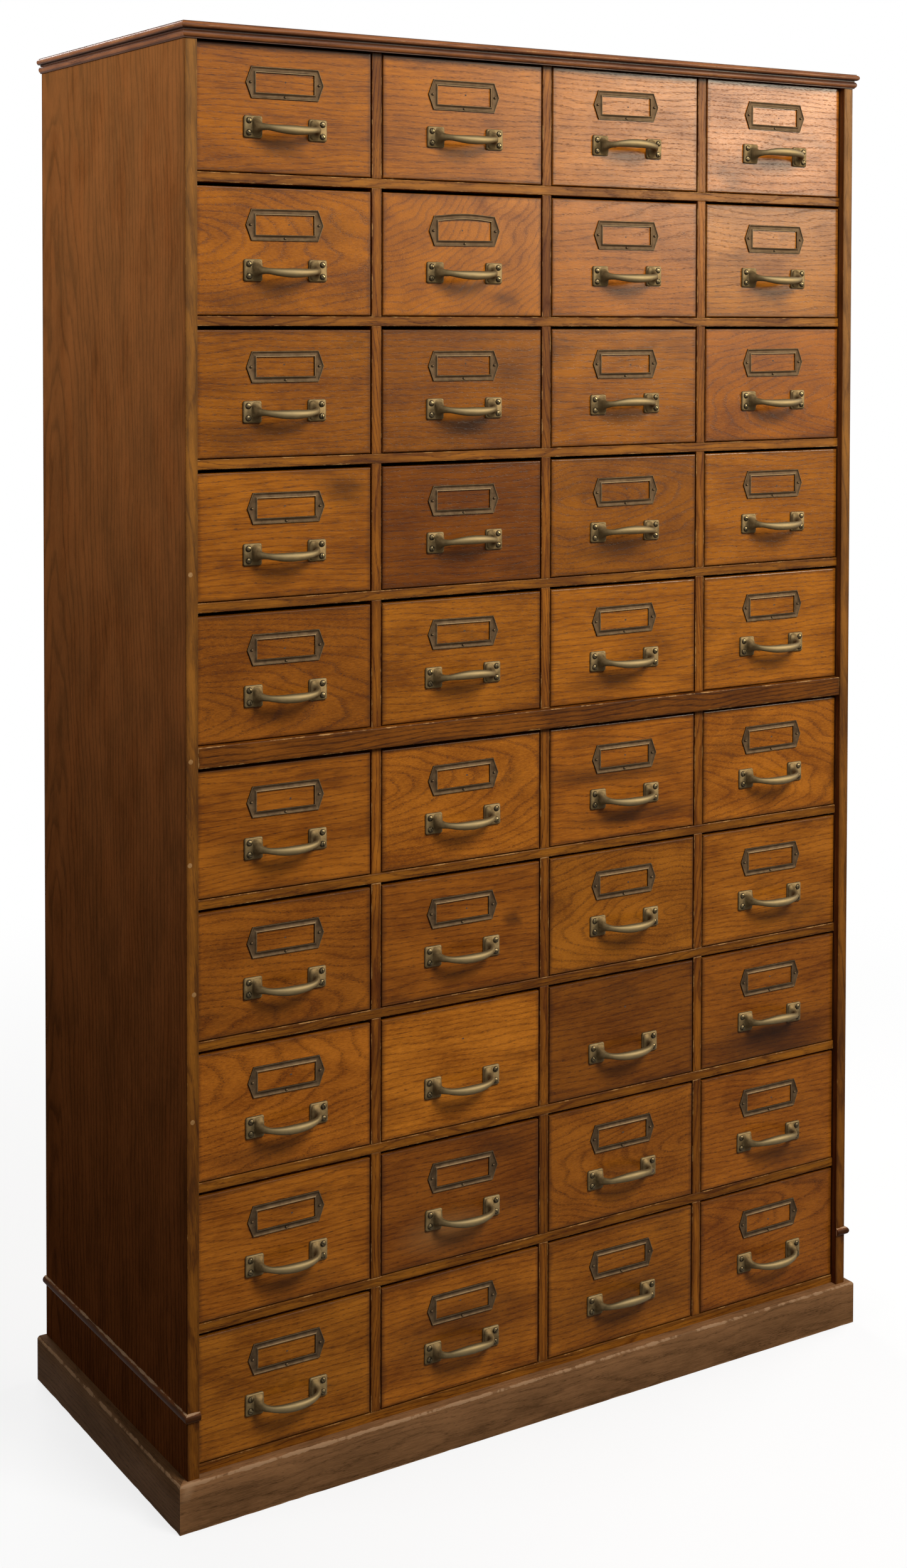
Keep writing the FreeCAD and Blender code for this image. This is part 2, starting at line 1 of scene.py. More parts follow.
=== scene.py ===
"""A tall cabinet of forty small drawers, with cast brass pulls and framed label holders.

Metres, Z up. The cabinet stands on the floor, faces -Y, and is put together below in the order
that a joiner would: sides, mouldings, plinth, grid of rails, drawers, and last the brassware.
"""
import math
import random

import bmesh
import bpy
from mathutils import Matrix, Vector


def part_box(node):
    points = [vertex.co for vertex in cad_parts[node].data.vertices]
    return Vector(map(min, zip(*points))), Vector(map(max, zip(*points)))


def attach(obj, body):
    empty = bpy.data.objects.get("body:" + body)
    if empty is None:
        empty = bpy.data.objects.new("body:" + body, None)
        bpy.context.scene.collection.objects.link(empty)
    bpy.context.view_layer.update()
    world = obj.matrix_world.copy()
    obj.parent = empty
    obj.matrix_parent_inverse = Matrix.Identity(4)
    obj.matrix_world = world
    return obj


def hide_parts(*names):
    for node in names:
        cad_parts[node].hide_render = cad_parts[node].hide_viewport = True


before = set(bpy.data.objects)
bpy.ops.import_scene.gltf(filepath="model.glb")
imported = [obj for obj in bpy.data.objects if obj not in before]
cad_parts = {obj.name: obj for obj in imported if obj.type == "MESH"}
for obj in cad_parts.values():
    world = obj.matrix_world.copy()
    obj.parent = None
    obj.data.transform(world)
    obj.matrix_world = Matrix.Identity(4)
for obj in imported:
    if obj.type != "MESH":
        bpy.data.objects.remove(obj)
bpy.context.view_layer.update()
MM = 0.001

# Side panels. Each is one wide board of plain-sawn hardwood with upright grain, stained dark
# red-brown and varnished, notched at the foot for the plinth and rabbeted for the back boards.
# The varnish has gone dull, and the stain is rubbed through to pale wood along the edges.


def linear(code):
    """An sRGB hex colour as the linear RGBA that shaders take."""
    channels = [int(code[i:i + 2], 16) / 255 for i in (1, 3, 5)]
    return tuple(c / 12.92 if c <= 0.04045 else ((c + 0.055) / 1.055) ** 2.4 for c in channels) + (1.0,)


def add(tree, kind, inputs=None, stops=None, **settings):
    """Adds a node: its settings, then its inputs, each a value or a socket to link."""
    made = tree.nodes.new("ShaderNode" + kind)
    for key, value in settings.items():
        setattr(made, key, value)
    for place, (where, colour) in enumerate(stops or []):
        ramp = made.color_ramp.elements
        stop = ramp[place] if place < 2 else ramp.new(where)
        stop.position = where
        stop.color = colour
    for key, value in (inputs or {}).items():
        if isinstance(value, bpy.types.NodeSocket):
            tree.links.new(value, made.inputs[key])
        else:
            made.inputs[key].default_value = value
    return made


def solids_of(node):
    """The lowest and highest corner of each separate board in a node."""
    mesh = bmesh.new()
    mesh.from_mesh(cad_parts[node].data)
    bmesh.ops.remove_doubles(mesh, verts=mesh.verts, dist=0.01 * MM)
    boxes = []
    waiting = set(mesh.verts)
    while waiting:
        found = {waiting.pop()}
        edge = list(found)
        while edge:
            near = {e.other_vert(v) for v in edge for e in v.link_edges} - found
            found |= near
            edge = list(near)
        waiting -= found
        corners = [[v.co[i] for v in found] for i in range(3)]
        boxes.append((Vector(map(min, corners)), Vector(map(max, corners))))
    mesh.free()
    return sorted(boxes, key=lambda box: tuple(round(c, 4) for c in box[0]))


class Timber:
    """Boards of one piece, with what the varnished-wood materials read from each point: its place
    in the grain of its tree, its distance from the board's faces, and the board's own shade."""

    def __init__(self, seed):
        self.mesh = bmesh.new()
        points = self.mesh.verts.layers
        self.grain = points.float_vector.new("grain")
        self.low = points.float_vector.new("low")
        self.high = points.float_vector.new("high")
        self.shade = points.float_vector.new("shade")
        self.marks = points.float.new("marks")
        self.choose = random.Random(seed)

    def tree(self, across=None, behind=None, drift=None):
        """A stretch of a tree: where it starts, where its heart lies, and how it leans.

        The heart lies so far across from the board's middle and so far behind its face, and gets
        nearer or further by drift from end to end. Close behind the face it gives arches, and far
        to the side straight lines.
        """
        if drift is None:
            drift = self.choose.uniform(-22, 22)
        if across is None:
            across = self.choose.uniform(-90, 90)
        if behind is None:
            behind = self.choose.uniform(15, 60)
        return self.choose.uniform(0, 40), across * MM, behind * MM, drift * MM

    def cut_from_tree(self, verts, low, high, along, shade, tree):
        """Gives a board its grain, running along one of the axes 0, 1 and 2."""
        through = min((i for i in range(3) if i != along), key=lambda i: high[i] - low[i])
        across = 3 - along - through
        start, heart_across, heart_behind, drift = tree or self.tree()
        lean = drift / (high[along] - low[along])
        middle = (low[across] + high[across]) / 2
        for vert in verts:
            place = vert.co
            length = place[along] - low[along]
            vert[self.grain] = (start + length, place[across] - middle + heart_across,
                                place[through] - low[through] + heart_behind + lean * length)
            vert[self.low] = place - low
            vert[self.high] = high - place
            vert[self.shade] = shade

    def board(self, low, high, along, ease=0.8 * MM, shade=(0, 0, 1), tree=None, front_only=False,
              whole=None, wood=0):
        """A straight board with eased edges, or with only its front face's edges eased.

        whole is the box of the board that this is a part of, and wood the number of its material.
        """
        low, high = Vector(low), Vector(high)
        old_verts = set(self.mesh.verts)
        old_faces = set(self.mesh.faces)
        cube = bmesh.ops.create_cube(self.mesh, size=1)["verts"]
        for vert in cube:
            vert.co = Vector((low[i] if vert.co[i] < 0 else high[i]) for i in range(3))
        edges = list(dict.fromkeys(e for v in cube for e in v.link_edges))
        if front_only:
            edges = [e for e in edges if all(abs(v.co.y - low.y) < 0.01 * MM for v in e.verts)]
        if ease:
            bmesh.ops.bevel(self.mesh, geom=edges, offset=ease, segments=3 if front_only else 2,
                            profile=0.5, affect="EDGES")
        for face in set(self.mesh.faces) - old_faces:
            face.material_index = wood
        box = whole or (low, high)
        self.cut_from_tree(set(self.mesh.verts) - old_verts, Vector(box[0]), Vector(box[1]), along, shade, tree)

    def carve(self, *boxes):
        """Cuts boxes, each a lowest and a highest corner, out of the piece."""
        wood = bpy.data.objects.new("wood", bpy.data.meshes.new("wood"))
        bpy.context.scene.collection.objects.link(wood)
        self.mesh.to_mesh(wood.data)
        tools = []
        for low, high in boxes:
            tool = bmesh.new()
            for vert in bmesh.ops.create_cube(tool, size=1)["verts"]:
                vert.co = Vector((low[i] if vert.co[i] < 0 else high[i]) for i in range(3))
            tools.append(bpy.data.objects.new("tool", bpy.data.meshes.new("tool")))
            tool.to_mesh(tools[-1].data)
            tool.free()
            bpy.context.scene.collection.objects.link(tools[-1])
            cut = wood.modifiers.new("cut", "BOOLEAN")
            cut.operation = "DIFFERENCE"
            cut.solver = "EXACT"
            cut.object = tools[-1]
        view = bpy.context.evaluated_depsgraph_get()
        self.mesh.clear()
        self.mesh.from_mesh(bpy.data.meshes.new_from_object(wood.evaluated_get(view), depsgraph=view))
        for spare in [wood, *tools]:
            bpy.data.objects.remove(spare)

    def peg(self, centre, wide, tall, deep, wood=0, sides=10):
        """A short peg with a round end at centre that faces forward, and deep into the wood."""
        rings = []
        for back in (0, deep):
            turns = [2 * math.pi * i / sides for i in range(sides)]
            rings.append([self.mesh.verts.new(centre + Vector((wide * math.cos(turn), back, tall * math.sin(turn))))
                          for turn in turns])
        made = [self.mesh.faces.new(ring) for ring in rings]
        for i in range(sides):
            j = (i + 1) % sides
            made.append(self.mesh.faces.new((rings[0][i], rings[0][j], rings[1][j], rings[1][i])))
        for face in made:
            face.material_index = wood
        return rings[0] + rings[1]

    def mark(self, marks, low, high, gap=12 * MM):
        """Cuts a face that looks forward into a net, and stores on it how marked each point is."""
        if not marks:
            return
        for axis in (0, 2):
            normal = Vector((axis == 0, 0, axis == 2))
            for step in range(1, int((high[axis] - low[axis]) / gap)):
                everything = [*self.mesh.verts, *self.mesh.edges, *self.mesh.faces]
                bmesh.ops.bisect_plane(self.mesh, geom=everything, plane_co=low + normal * gap * step,
                                       plane_no=normal)
        middle = (low + high) / 2
        for vert in self.mesh.verts:
            for right, up, half_width, half_height, depth in marks:
                off = Vector(((vert.co.x - middle.x) / MM - right, (vert.co.z - middle.z) / MM - up))
                reach = Vector((off.x / half_width, off.y / half_height)).length
                vert[self.marks] += depth * max(0.0, 1.3 - reach) if reach > 0.3 else depth

    def moulding(self, outline, arrises, begin, end, outward, mitres, wear=0.4 * MM, light=0.0, hollow_darkening=1.0):
        """A length of moulding. outline is its section, (out, up) from the line begin to end.

        arrises are the section's points that wear first. mitres are how much longer the moulding
        gets at its begin and its end for each millimetre out. dirty is how dark its hollows are, from
        old soiling and painted shade.
        """
        along = (end - begin).normalized()
        outline = [Vector(point) * MM for point in outline]
        worn = [min((point - Vector(arris) * MM).length for arris in arrises) for point in outline]
        hollows = [hollow_darkening * min(1.0, max(0.0, (arris - 1.2 * MM) / (2.5 * MM))) for arris in worn]
        steps = max(2, round((end - begin).length / (12 * MM)))
        start, heart_across, heart_behind, drift = self.tree()
        knocks = [max(0.0, self.choose.gauss(-0.2, 0.6)) for step in range(steps + 1)]
        rings = []
        for step in range(steps + 1):
            ring = []
            for point, arris, hollow in zip(outline, worn, hollows):
                first = begin - along * point.x * mitres[0]
                last = end + along * point.x * mitres[1]
                knock = knocks[step] * wear * max(0.0, 1 - arris / (1.5 * MM))
                inside = min(point.x, knock)
                place = first.lerp(last, step / steps) + outward * (point.x - inside)
                vert = self.mesh.verts.new(place + Vector((0, 0, point.y)))
                vert[self.grain] = (start + step / steps * (end - begin).length, heart_across + point.y,
                                    heart_behind - point.x + drift * step / steps)
                vert[self.low] = vert[self.high] = (arris, arris, arris)
                vert[self.shade] = (light, 0, -hollow)
                ring.append(vert)
            rings.append(ring)
        for one, other in zip(rings, rings[1:]):
            for i in range(len(outline)):
                j = (i + 1) % len(outline)
                self.mesh.faces.new((one[i], one[j], other[j], other[i]))
        self.mesh.faces.new(rings[0])
        self.mesh.faces.new(rings[-1])

    def piece(self, name, woods, body, slot, *nodes, smooth=False):
        data = bpy.data.meshes.new(name)
        bmesh.ops.recalc_face_normals(self.mesh, faces=self.mesh.faces)
        self.mesh.to_mesh(data)
        self.mesh.free()
        for face in data.polygons:
            face.use_smooth = smooth
        if smooth:
            data.set_sharp_from_angle(angle=math.radians(38))
        made = bpy.data.objects.new(name, data)
        bpy.context.scene.collection.objects.link(made)
        for wood in woods:
            data.materials.append(wood)
        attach(made, body)
        if nodes:
            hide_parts(*nodes)
        return made


def varnished_wood(name, pale, deep, pore, bare, ring_gap, ring_depth, pore_depth, wear, gloss, shine, grime_and_shade=0.45):
    """Stained and varnished ring-porous hardwood.

    Every year ring starts with a band of open pores, dark with old stain, and ends smooth. pale
    and deep are the lightest and darkest of the wood itself, pore the filled pores, old soiling and
    painted shade, and bare the wood under worn varnish. ring_gap is the mean width of a ring. Pores
    are 0.3 mm wide and 7 mm long, drawn 0.6 mm wide so that they show.
    """
    material = bpy.data.materials.new(name)
    material.use_nodes = True
    tree = material.node_tree
    shader = tree.nodes["Principled BSDF"]
    grain = add(tree, "Attribute", attribute_name="grain").outputs["Vector"]
    low = add(tree, "Attribute", attribute_name="low").outputs["Vector"]
    high = add(tree, "Attribute", attribute_name="high").outputs["Vector"]
    shade = add(tree, "Attribute", attribute_name="shade").outputs["Vector"]
    shade = add(tree, "SeparateXYZ", {0: shade}).outputs

    # Distance from the heart of the tree, made uneven as a grown trunk is
    slow = add(tree, "Mapping", {"Vector": grain, "Scale": (4, 16, 16)}).outputs[0]
    sway = add(tree, "TexNoise", {"Vector": slow, "Scale": 1.0, "Detail": 2.0, "Roughness": 0.5}).outputs["Fac"]
    quick = add(tree, "Mapping", {"Vector": grain, "Scale": (60, 300, 300)}).outputs[0]
    ripple = add(tree, "TexNoise", {"Vector": quick, "Scale": 1.0, "Detail": 1.0}).outputs["Fac"]
    flat = add(tree, "VectorMath", {0: grain, 1: (0, 1, 1)}, operation="MULTIPLY").outputs[0]
    reach = add(tree, "VectorMath", {0: flat}, operation="LENGTH").outputs["Value"]
    bent = add(tree, "Math", {0: sway, 1: 40 * MM, 2: reach}, operation="MULTIPLY_ADD").outputs[0]
    bent = add(tree, "Math", {0: ripple, 1: 1.0 * MM, 2: bent}, operation="MULTIPLY_ADD").outputs[0]
    rings = add(tree, "Math", {0: bent, 1: 1 / ring_gap}, operation="MULTIPLY").outputs[0]
    year = add(tree, "Math", {0: rings}, operation="FRACT").outputs[0]
    rise = add(tree, "MapRange", {"Value": year, "From Min": 0.0, "From Max": 0.15}, interpolation_type="SMOOTHSTEP")
    fall = add(tree, "MapRange", {"Value": year, "From Min": 0.16, "From Max": 0.5, "To Min": 1.0, "To Max": 0.0},
               interpolation_type="SMOOTHSTEP").outputs[0]
    spring = add(tree, "Math", {0: rise.outputs[0], 1: fall}, operation="MULTIPLY").outputs[0]

    # Open pores, long and thin, crowded in the spring wood and sparse elsewhere
    fibre = add(tree, "Mapping", {"Vector": grain, "Scale": (1 / (7 * MM), 1 / (0.6 * MM), 1 / (0.6 * MM))})
    fibre = add(tree, "TexNoise", {"Vector": fibre.outputs[0], "Scale": 1.0, "Detail": 1.0}).outputs["Fac"]
    needed = add(tree, "Math", {0: spring, 1: -0.14, 2: 0.64}, operation="MULTIPLY_ADD").outputs[0]
    past = add(tree, "Math", {0: fibre, 1: needed}, operation="SUBTRACT").outputs[0]
    pores = add(tree, "MapRange", {"Value": past, "From Min": 0.0, "From Max": 0.13}).outputs[0]

    # Fine streaks along the grain, stain that took unevenly, and dark patches where damp got in
    long_streak = add(tree, "Mapping", {"Vector": grain, "Scale": (34, 800, 800)}).outputs[0]
    streak = add(tree, "TexNoise", {"Vector": long_streak, "Scale": 1.0, "Detail": 4.0, "Roughness": 0.75}).outputs["Fac"]
    cloud_place = add(tree, "Mapping", {"Vector": grain, "Scale": (9, 24, 24)}).outputs[0]
    cloud = add(tree, "TexNoise", {"Vector": cloud_place, "Scale": 1.0, "Detail": 4.0, "Roughness": 0.6})
    cloud = cloud.outputs["Fac"]
    body = add(tree, "Math", {0: streak, 1: 2.1, 2: -0.65}, operation="MULTIPLY_ADD").outputs[0]
    body = add(tree, "Math", {0: cloud, 1: 2.1, 2: body}, operation="MULTIPLY_ADD").outputs[0]
    body = add(tree, "Math", {0: spring, 1: ring_depth, 2: body}, operation="MULTIPLY_ADD").outputs[0]
    body = add(tree, "Math", {0: body, 1: -0.95 - 0.3 * ring_depth}, operation="ADD", use_clamp=True).outputs[0]
    colour = add(tree, "Mix", {"Factor": body, "A": linear(pale), "B": linear(deep)}, data_type="RGBA").outputs[2]
    damp_place = add(tree, "Mapping", {"Vector": grain, "Scale": (7, 18, 18), "Location": (3, 5, 7)}).outputs[0]
    damp_cloud = add(tree, "TexNoise", {"Vector": damp_place, "Scale": 1.0, "Detail": 5.0, "Roughness": 0.65})
    damp_cloud = damp_cloud.outputs["Fac"]
    damp = add(tree, "MapRange", {"Value": damp_cloud, "From Min": 0.58, "From Max": 0.72, "To Max": 0.4}).outputs[0]
    colour = add(tree, "Mix", {"Factor": damp, "A": colour, "B": linear(pore)}, data_type="RGBA").outputs[2]
    filled = add(tree, "Math", {0: pores, 1: pore_depth}, operation="MULTIPLY").outputs[0]
    colour = add(tree, "Mix", {"Factor": filled, "A": colour, "B": linear(pore)}, data_type="RGBA").outputs[2]

    # Marks of use: smudges and water stains where marks is over 0, rubbed spots where it is under; on the side panels,
    # marks under 0 also paint a pale sheen towards the top
    marks = add(tree, "Attribute", attribute_name="marks").outputs["Fac"]
    broken = add(tree, "Math", {0: damp_cloud, 1: 2.4, 2: -0.25}, operation="MULTIPLY_ADD", use_clamp=True).outputs[0]
    smudge = add(tree, "Math", {0: marks, 1: broken}, operation="MULTIPLY", use_clamp=True).outputs[0]
    colour = add(tree, "Mix", {"Factor": smudge, "A": colour, "B": linear(pore)}, data_type="RGBA").outputs[2]
    faded_and_sheen = add(tree, "Math", {0: marks, 1: -1.0}, operation="MULTIPLY").outputs[0]
    faded_and_sheen = add(tree, "Math", {0: faded_and_sheen, 1: broken}, operation="MULTIPLY", use_clamp=True).outputs[0]
    colour = add(tree, "Mix", {"Factor": faded_and_sheen, "A": colour, "B": linear(bare)}, data_type="RGBA").outputs[2]

    # Each board's own shade, lighter or darker, redder or yellower; on the side panels and the plinth's side boards it
    # also holds painted light and shade
    value = add(tree, "Math", {0: shade[0], 1: 1.0}, operation="ADD").outputs[0]
    turn = add(tree, "Math", {0: shade[1], 1: -0.007, 2: 0.5}, operation="MULTIPLY_ADD").outputs[0]
    colour = add(tree, "HueSaturation", {"Color": colour, "Hue": turn, "Value": value}).outputs[0]

    # Distance from the nearest edge of the board: the middle one of the distances to its faces
    near = add(tree, "VectorMath", {0: low, 1: high}, operation="MINIMUM").outputs[0]
    near = add(tree, "SeparateXYZ", {0: near}).outputs
    least = add(tree, "Math", {0: near[0], 1: near[1]}, operation="MINIMUM").outputs[0]
    most = add(tree, "Math", {0: near[0], 1: near[1]}, operation="MAXIMUM").outputs[0]
    most = add(tree, "Math", {0: most, 1: near[2]}, operation="MINIMUM").outputs[0]
    edge = add(tree, "Math", {0: least, 1: most}, operation="MAXIMUM").outputs[0]

    # Darker along the edges and in the hollows, partly old soiling and partly painted shade, and wood rubbed bare
    # along the arris
    knocks = add(tree, "TexNoise", {"Vector": grain, "Scale": 38.0, "Detail": 4.0, "Roughness": 0.7}).outputs["Fac"]
    width = add(tree, "Math", {0: cloud, 1: 13 * MM}, operation="MULTIPLY").outputs[0]
    dirt_and_shade = add(tree, "MapRange", {"Value": edge, "From Min": 0.0, "From Max": width, "To Min": grime_and_shade, "To Max": 0.0})
    dirt_and_shade = add(tree, "Math", {0: dirt_and_shade.outputs[0], 1: shade[2]}, operation="MULTIPLY", use_clamp=True).outputs[0]
    hollow = add(tree, "Math", {0: shade[2], 1: -0.8}, operation="MULTIPLY", use_clamp=True).outputs[0]
    dirt_and_shade = add(tree, "Math", {0: dirt_and_shade, 1: hollow}, operation="MAXIMUM").outputs[0]
    colour = add(tree, "Mix", {"Factor": dirt_and_shade, "A": colour, "B": linear(pore)}, data_type="RGBA").outputs[2]
    rub = add(tree, "MapRange", {"Value": knocks, "From Min": 0.66 - 0.25 * wear, "From Max": 0.9 - 0.25 * wear,
                                 "To Min": 0.0, "To Max": 2.2 * MM * wear}).outputs[0]
    rubbed = add(tree, "Math", {0: edge, 1: rub}, operation="SUBTRACT").outputs[0]
    rubbed = add(tree, "MapRange", {"Value": rubbed, "From Min": -0.6 * MM, "From Max": 0.1 * MM, "To Min": 0.8,
                                    "To Max": 0.0}).outputs[0]
    colour = add(tree, "Mix", {"Factor": rubbed, "A": colour, "B": linear(bare)}, data_type="RGBA").outputs[2]
    tree.links.new(colour, shader.inputs["Base Color"])

    rough = add(tree, "Math", {0: cloud, 1: 0.22, 2: gloss - 0.11}, operation="MULTIPLY_ADD").outputs[0]
    rough = add(tree, "Math", {0: pores, 1: 0.1, 2: rough}, operation="MULTIPLY_ADD").outputs[0]
    tree.links.new(rough, shader.inputs["Roughness"])
    shader.inputs["Specular IOR Level"].default_value = shine
    height = add(tree, "Math", {0: pores, 1: -1.0, 2: streak}, operation="MULTIPLY_ADD").outputs[0]
    height = add(tree, "Math", {0: knocks, 1: 0.5, 2: height}, operation="MULTIPLY_ADD").outputs[0]
    bump = add(tree, "Bump", {"Height": height, "Strength": 0.22, "Distance": 0.3 * MM})
    tree.links.new(bump.outputs[0], shader.inputs["Normal"])
    return material


stained_side = varnished_wood("dark_stained_side", pale="#74401C", deep="#502A10", pore="#2A1408",
                              bare="#9A6C40", ring_gap=9 * MM, ring_depth=0.5, pore_depth=0.35,
                              wear=0.5, gloss=0.5, shine=0.0)
# The edge that faces forward was varnished over bare wood, not stained, and has gone yellow brown
varnished_edge = varnished_wood("varnished_panel_edge", pale="#905818", deep="#552C0A", pore="#2C1608",
                                bare="#A9793E", ring_gap=5 * MM, ring_depth=0.4, pore_depth=0.5,
                                wear=0.6, gloss=0.45, shine=0.04)
plinth_low, plinth_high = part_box("plinth_front")
back_low, back_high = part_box("back_boards")
for hand in ("left", "right"):
    side_low, side_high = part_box(f"{hand}_side")
    panel = Timber(seed=11 if hand == "left" else 12)
    tree = (0.0, -190 * MM, 25 * MM, 130 * MM)
    panel.board(side_low, side_high, along=2, ease=1.0 * MM)
    notch = (side_low - Vector((1, 1, 1)), Vector((1, plinth_high.y, plinth_high.z)))
    rabbet = (Vector((back_low.x, back_low.y, -1)), Vector((back_high.x, 1, 3)))
    panel.carve(notch, rabbet)
    panel.cut_from_tree(panel.mesh.verts, side_low, side_high, along=2, shade=(0, 0, 1), tree=tree)
    # Painted light and sheen: lighter, yellower and paler towards the top, darker and redder towards the foot
    for vert in panel.mesh.verts:
        height = vert.co.z / side_high.z
        vert[panel.shade] = (0.15 * height - 0.1, 0.4 - 0.5 * height, 1)
        vert[panel.marks] = -0.25 * height
    for face in panel.mesh.faces:
        if face.calc_center_median().y < side_low.y + 0.4 * MM:
            face.material_index = 1
    panel.piece(f"{hand}_side_panel", [stained_side, varnished_edge], "carcass", "side_wood", f"{hand}_side")

# Nails through the left panel's front edge, each hidden under a plug of pale unstained wood
pale_plug = varnished_wood("pale_wooden_plug", pale="#C79862", deep="#A67845", pore="#5A3A1C", bare="#CFA56F",
                           ring_gap=2 * MM, ring_depth=0.3, pore_depth=0.4, wear=0.2, gloss=0.5, shine=0.05)
plugs = Timber(seed=13)
left_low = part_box("left_side")[0]
for height, off in ((1156.9, 5.8), (932.5, 5.8), (807.9, 4.4), (651.1, 9.6), (496.7, 7.3)):
    centre = left_low + Vector((off, -0.1, height)) * MM
    reach = Vector((3, 3, 3)) * MM
    plugs.cut_from_tree(plugs.peg(centre, 3 * MM, 3 * MM, 2 * MM, sides=14), centre - reach, centre + reach, along=2, shade=(0, 0, 1), tree=None)
plugs.piece("left_side_nail_plugs", [pale_plug], "carcass", "side_wood")


# Top board. It lies on the side panels and is only seen from above: the same stained wood,
# dull and dusty because nobody polishes it.

dusty_top = varnished_wood("dusty_stained_top", pale="#80502F", deep="#5C3720", pore="#33200F", bare="#9A7248",
                           ring_gap=9 * MM, ring_depth=0.6, pore_depth=0.4, wear=0.5, gloss=0.8, shine=0.0)
top_low, top_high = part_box("top_board")
top = Timber(seed=21)
top.board(top_low, top_high, along=0, ease=0.3 * MM, tree=top.tree(across=30, behind=40))
top.piece("top_board_panel", [dusty_top], "carcass", "side_wood", "top_board")

# Cornice: a moulding of two stacked beads, the upper one standing further out, run on a spindle
# from the same wood, mitred at the front corners and pinned round the top of the carcass.


def bead(foot, top, out, rise, steps=8):
    """Points of a bead from foot to top that bulges by rise from a face standing out by out."""
    radius = ((top - foot) ** 2 / 4 + rise ** 2) / (2 * rise)
    half = math.asin((top - foot) / 2 / radius)
    middle = out + rise - radius
    return [(middle + radius * math.cos(turn), (foot + top) / 2 + radius * math.sin(turn))
            for turn in (half * (2 * step / steps - 1) for step in range(steps + 1))]


cornice_outline = [(0, 0), (1.6, 0)] + bead(1, 9.6, 1.6, 2.6) + [(1.6, 11.4)] + bead(11.4, 19, 3.8, 3.2)
cornice_outline += [(3.8, 20), (0, 20)]
cornice_arrises = [(4.2, 3.5), (7.0, 15.2), (6.4, 18.0)]
cornice_low, cornice_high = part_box("cornice_front")
face_y = side_low.y
rear_y = side_high.y
half_width = side_high.x
left_front = Vector((-half_width, face_y, cornice_low.z))
right_front = Vector((half_width, face_y, cornice_low.z))
left_rear = Vector((-half_width, rear_y, cornice_low.z))
right_rear = Vector((half_width, rear_y, cornice_low.z))
to_left, to_right, to_front = Vector((-1, 0, 0)), Vector((1, 0, 0)), Vector((0, -1, 0))
stained_moulding = varnished_wood("stained_moulding", pale="#8A5228", deep="#643618", pore="#241008",
                                  bare="#A67C48", ring_gap=7 * MM, ring_depth=0.4, pore_depth=0.45,
                                  wear=0.6, gloss=0.42, shine=0.08)
for name, begin, end, outward, mitres in (
    ("front", left_front, right_front, to_front, (1, 1)),
    ("left", left_rear, left_front, to_left, (0, 1)),
    ("right", right_front, right_rear, to_right, (1, 0)),
):
    cornice = Timber(seed=31 + len(name))
    cornice.moulding(cornice_outline, cornice_arrises, begin, end, outward, mitres)
    cornice.piece(f"cornice_{name}_moulding", [stained_moulding], "carcass", "side_wood", f"cornice_{name}",
                  smooth=True)

# Plinth: boards with a bevelled top edge, nailed round the foot and mitred at the front. Mops
# and shoes have scuffed them to a greyer brown and taken the bevel down to bare wood.

scuffed_plinth = varnished_wood("scuffed_plinth", pale="#8E6440", deep="#66462A", pore="#33200F",
                                bare="#A88360", ring_gap=6 * MM, ring_depth=0.2, pore_depth=0.5,
                                wear=1.0, gloss=0.55, shine=0.015)
plinth_top = (plinth_high.z - plinth_low.z) / MM
front_thick = (plinth_high.y - plinth_low.y) / MM
side_thick = (plinth_high.x - half_width) / MM
bevel = 3


def plinth_outline(thick):
    face = [(thick, 12 * step) for step in range(int(plinth_top / 12))]
    return [(0, 0)] + face + [(thick, plinth_top - bevel), (thick - bevel / 2, plinth_top - bevel / 3),
                              (thick - bevel, plinth_top), (0, plinth_top)]


skew = side_thick / front_thick
notch_y = plinth_high.y
foot_front_left = Vector((-half_width, notch_y, 0))
foot_front_right = Vector((half_width, notch_y, 0))
foot_rear_left = Vector((-half_width, rear_y, 0))
foot_rear_right = Vector((half_width, rear_y, 0))
for name, begin, end, outward, mitres, thick in (
    ("front", foot_front_left, foot_front_right, to_front, (skew, skew), front_thick),
    ("left", foot_rear_left, foot_front_left, to_left, (0, 1 / skew), side_thick),
    ("right", foot_front_right, foot_rear_right, to_right, (1 / skew, 0), side_thick),
):
    plinth = Timber(seed=41 + len(name))
    arrises = [(thick, plinth_top - bevel), (thick - bevel / 2, plinth_top - bevel / 3), (thick, 0)]
    # The side boards are made darker than the front one, as painted shade on the faces that turn from the light
    plinth.moulding(plinth_outline(thick), arrises, begin, end, outward, mitres, wear=0.7 * MM,
                    light=0.0 if name == "front" else -0.32, hollow_darkening=0.0)
    for vert in plinth.mesh.verts:
        chipped = (vert.co - Vector((-half_width, notch_y, plinth_high.z)) - Vector((0, -front_thick, 0)) * MM).length
        vert[plinth.marks] = -0.8 if chipped < 7 * MM else 0.0
    plinth.piece(f"plinth_{name}_board", [scuffed_plinth], "carcass", "plinth_wood", f"plinth_{name}",
                 smooth=True)

# A half-round bead planted across each side panel low down, turned round the panel's front edge
# with a small mitre. Its edges stand where knees and brooms meet them, so they have gone pale.

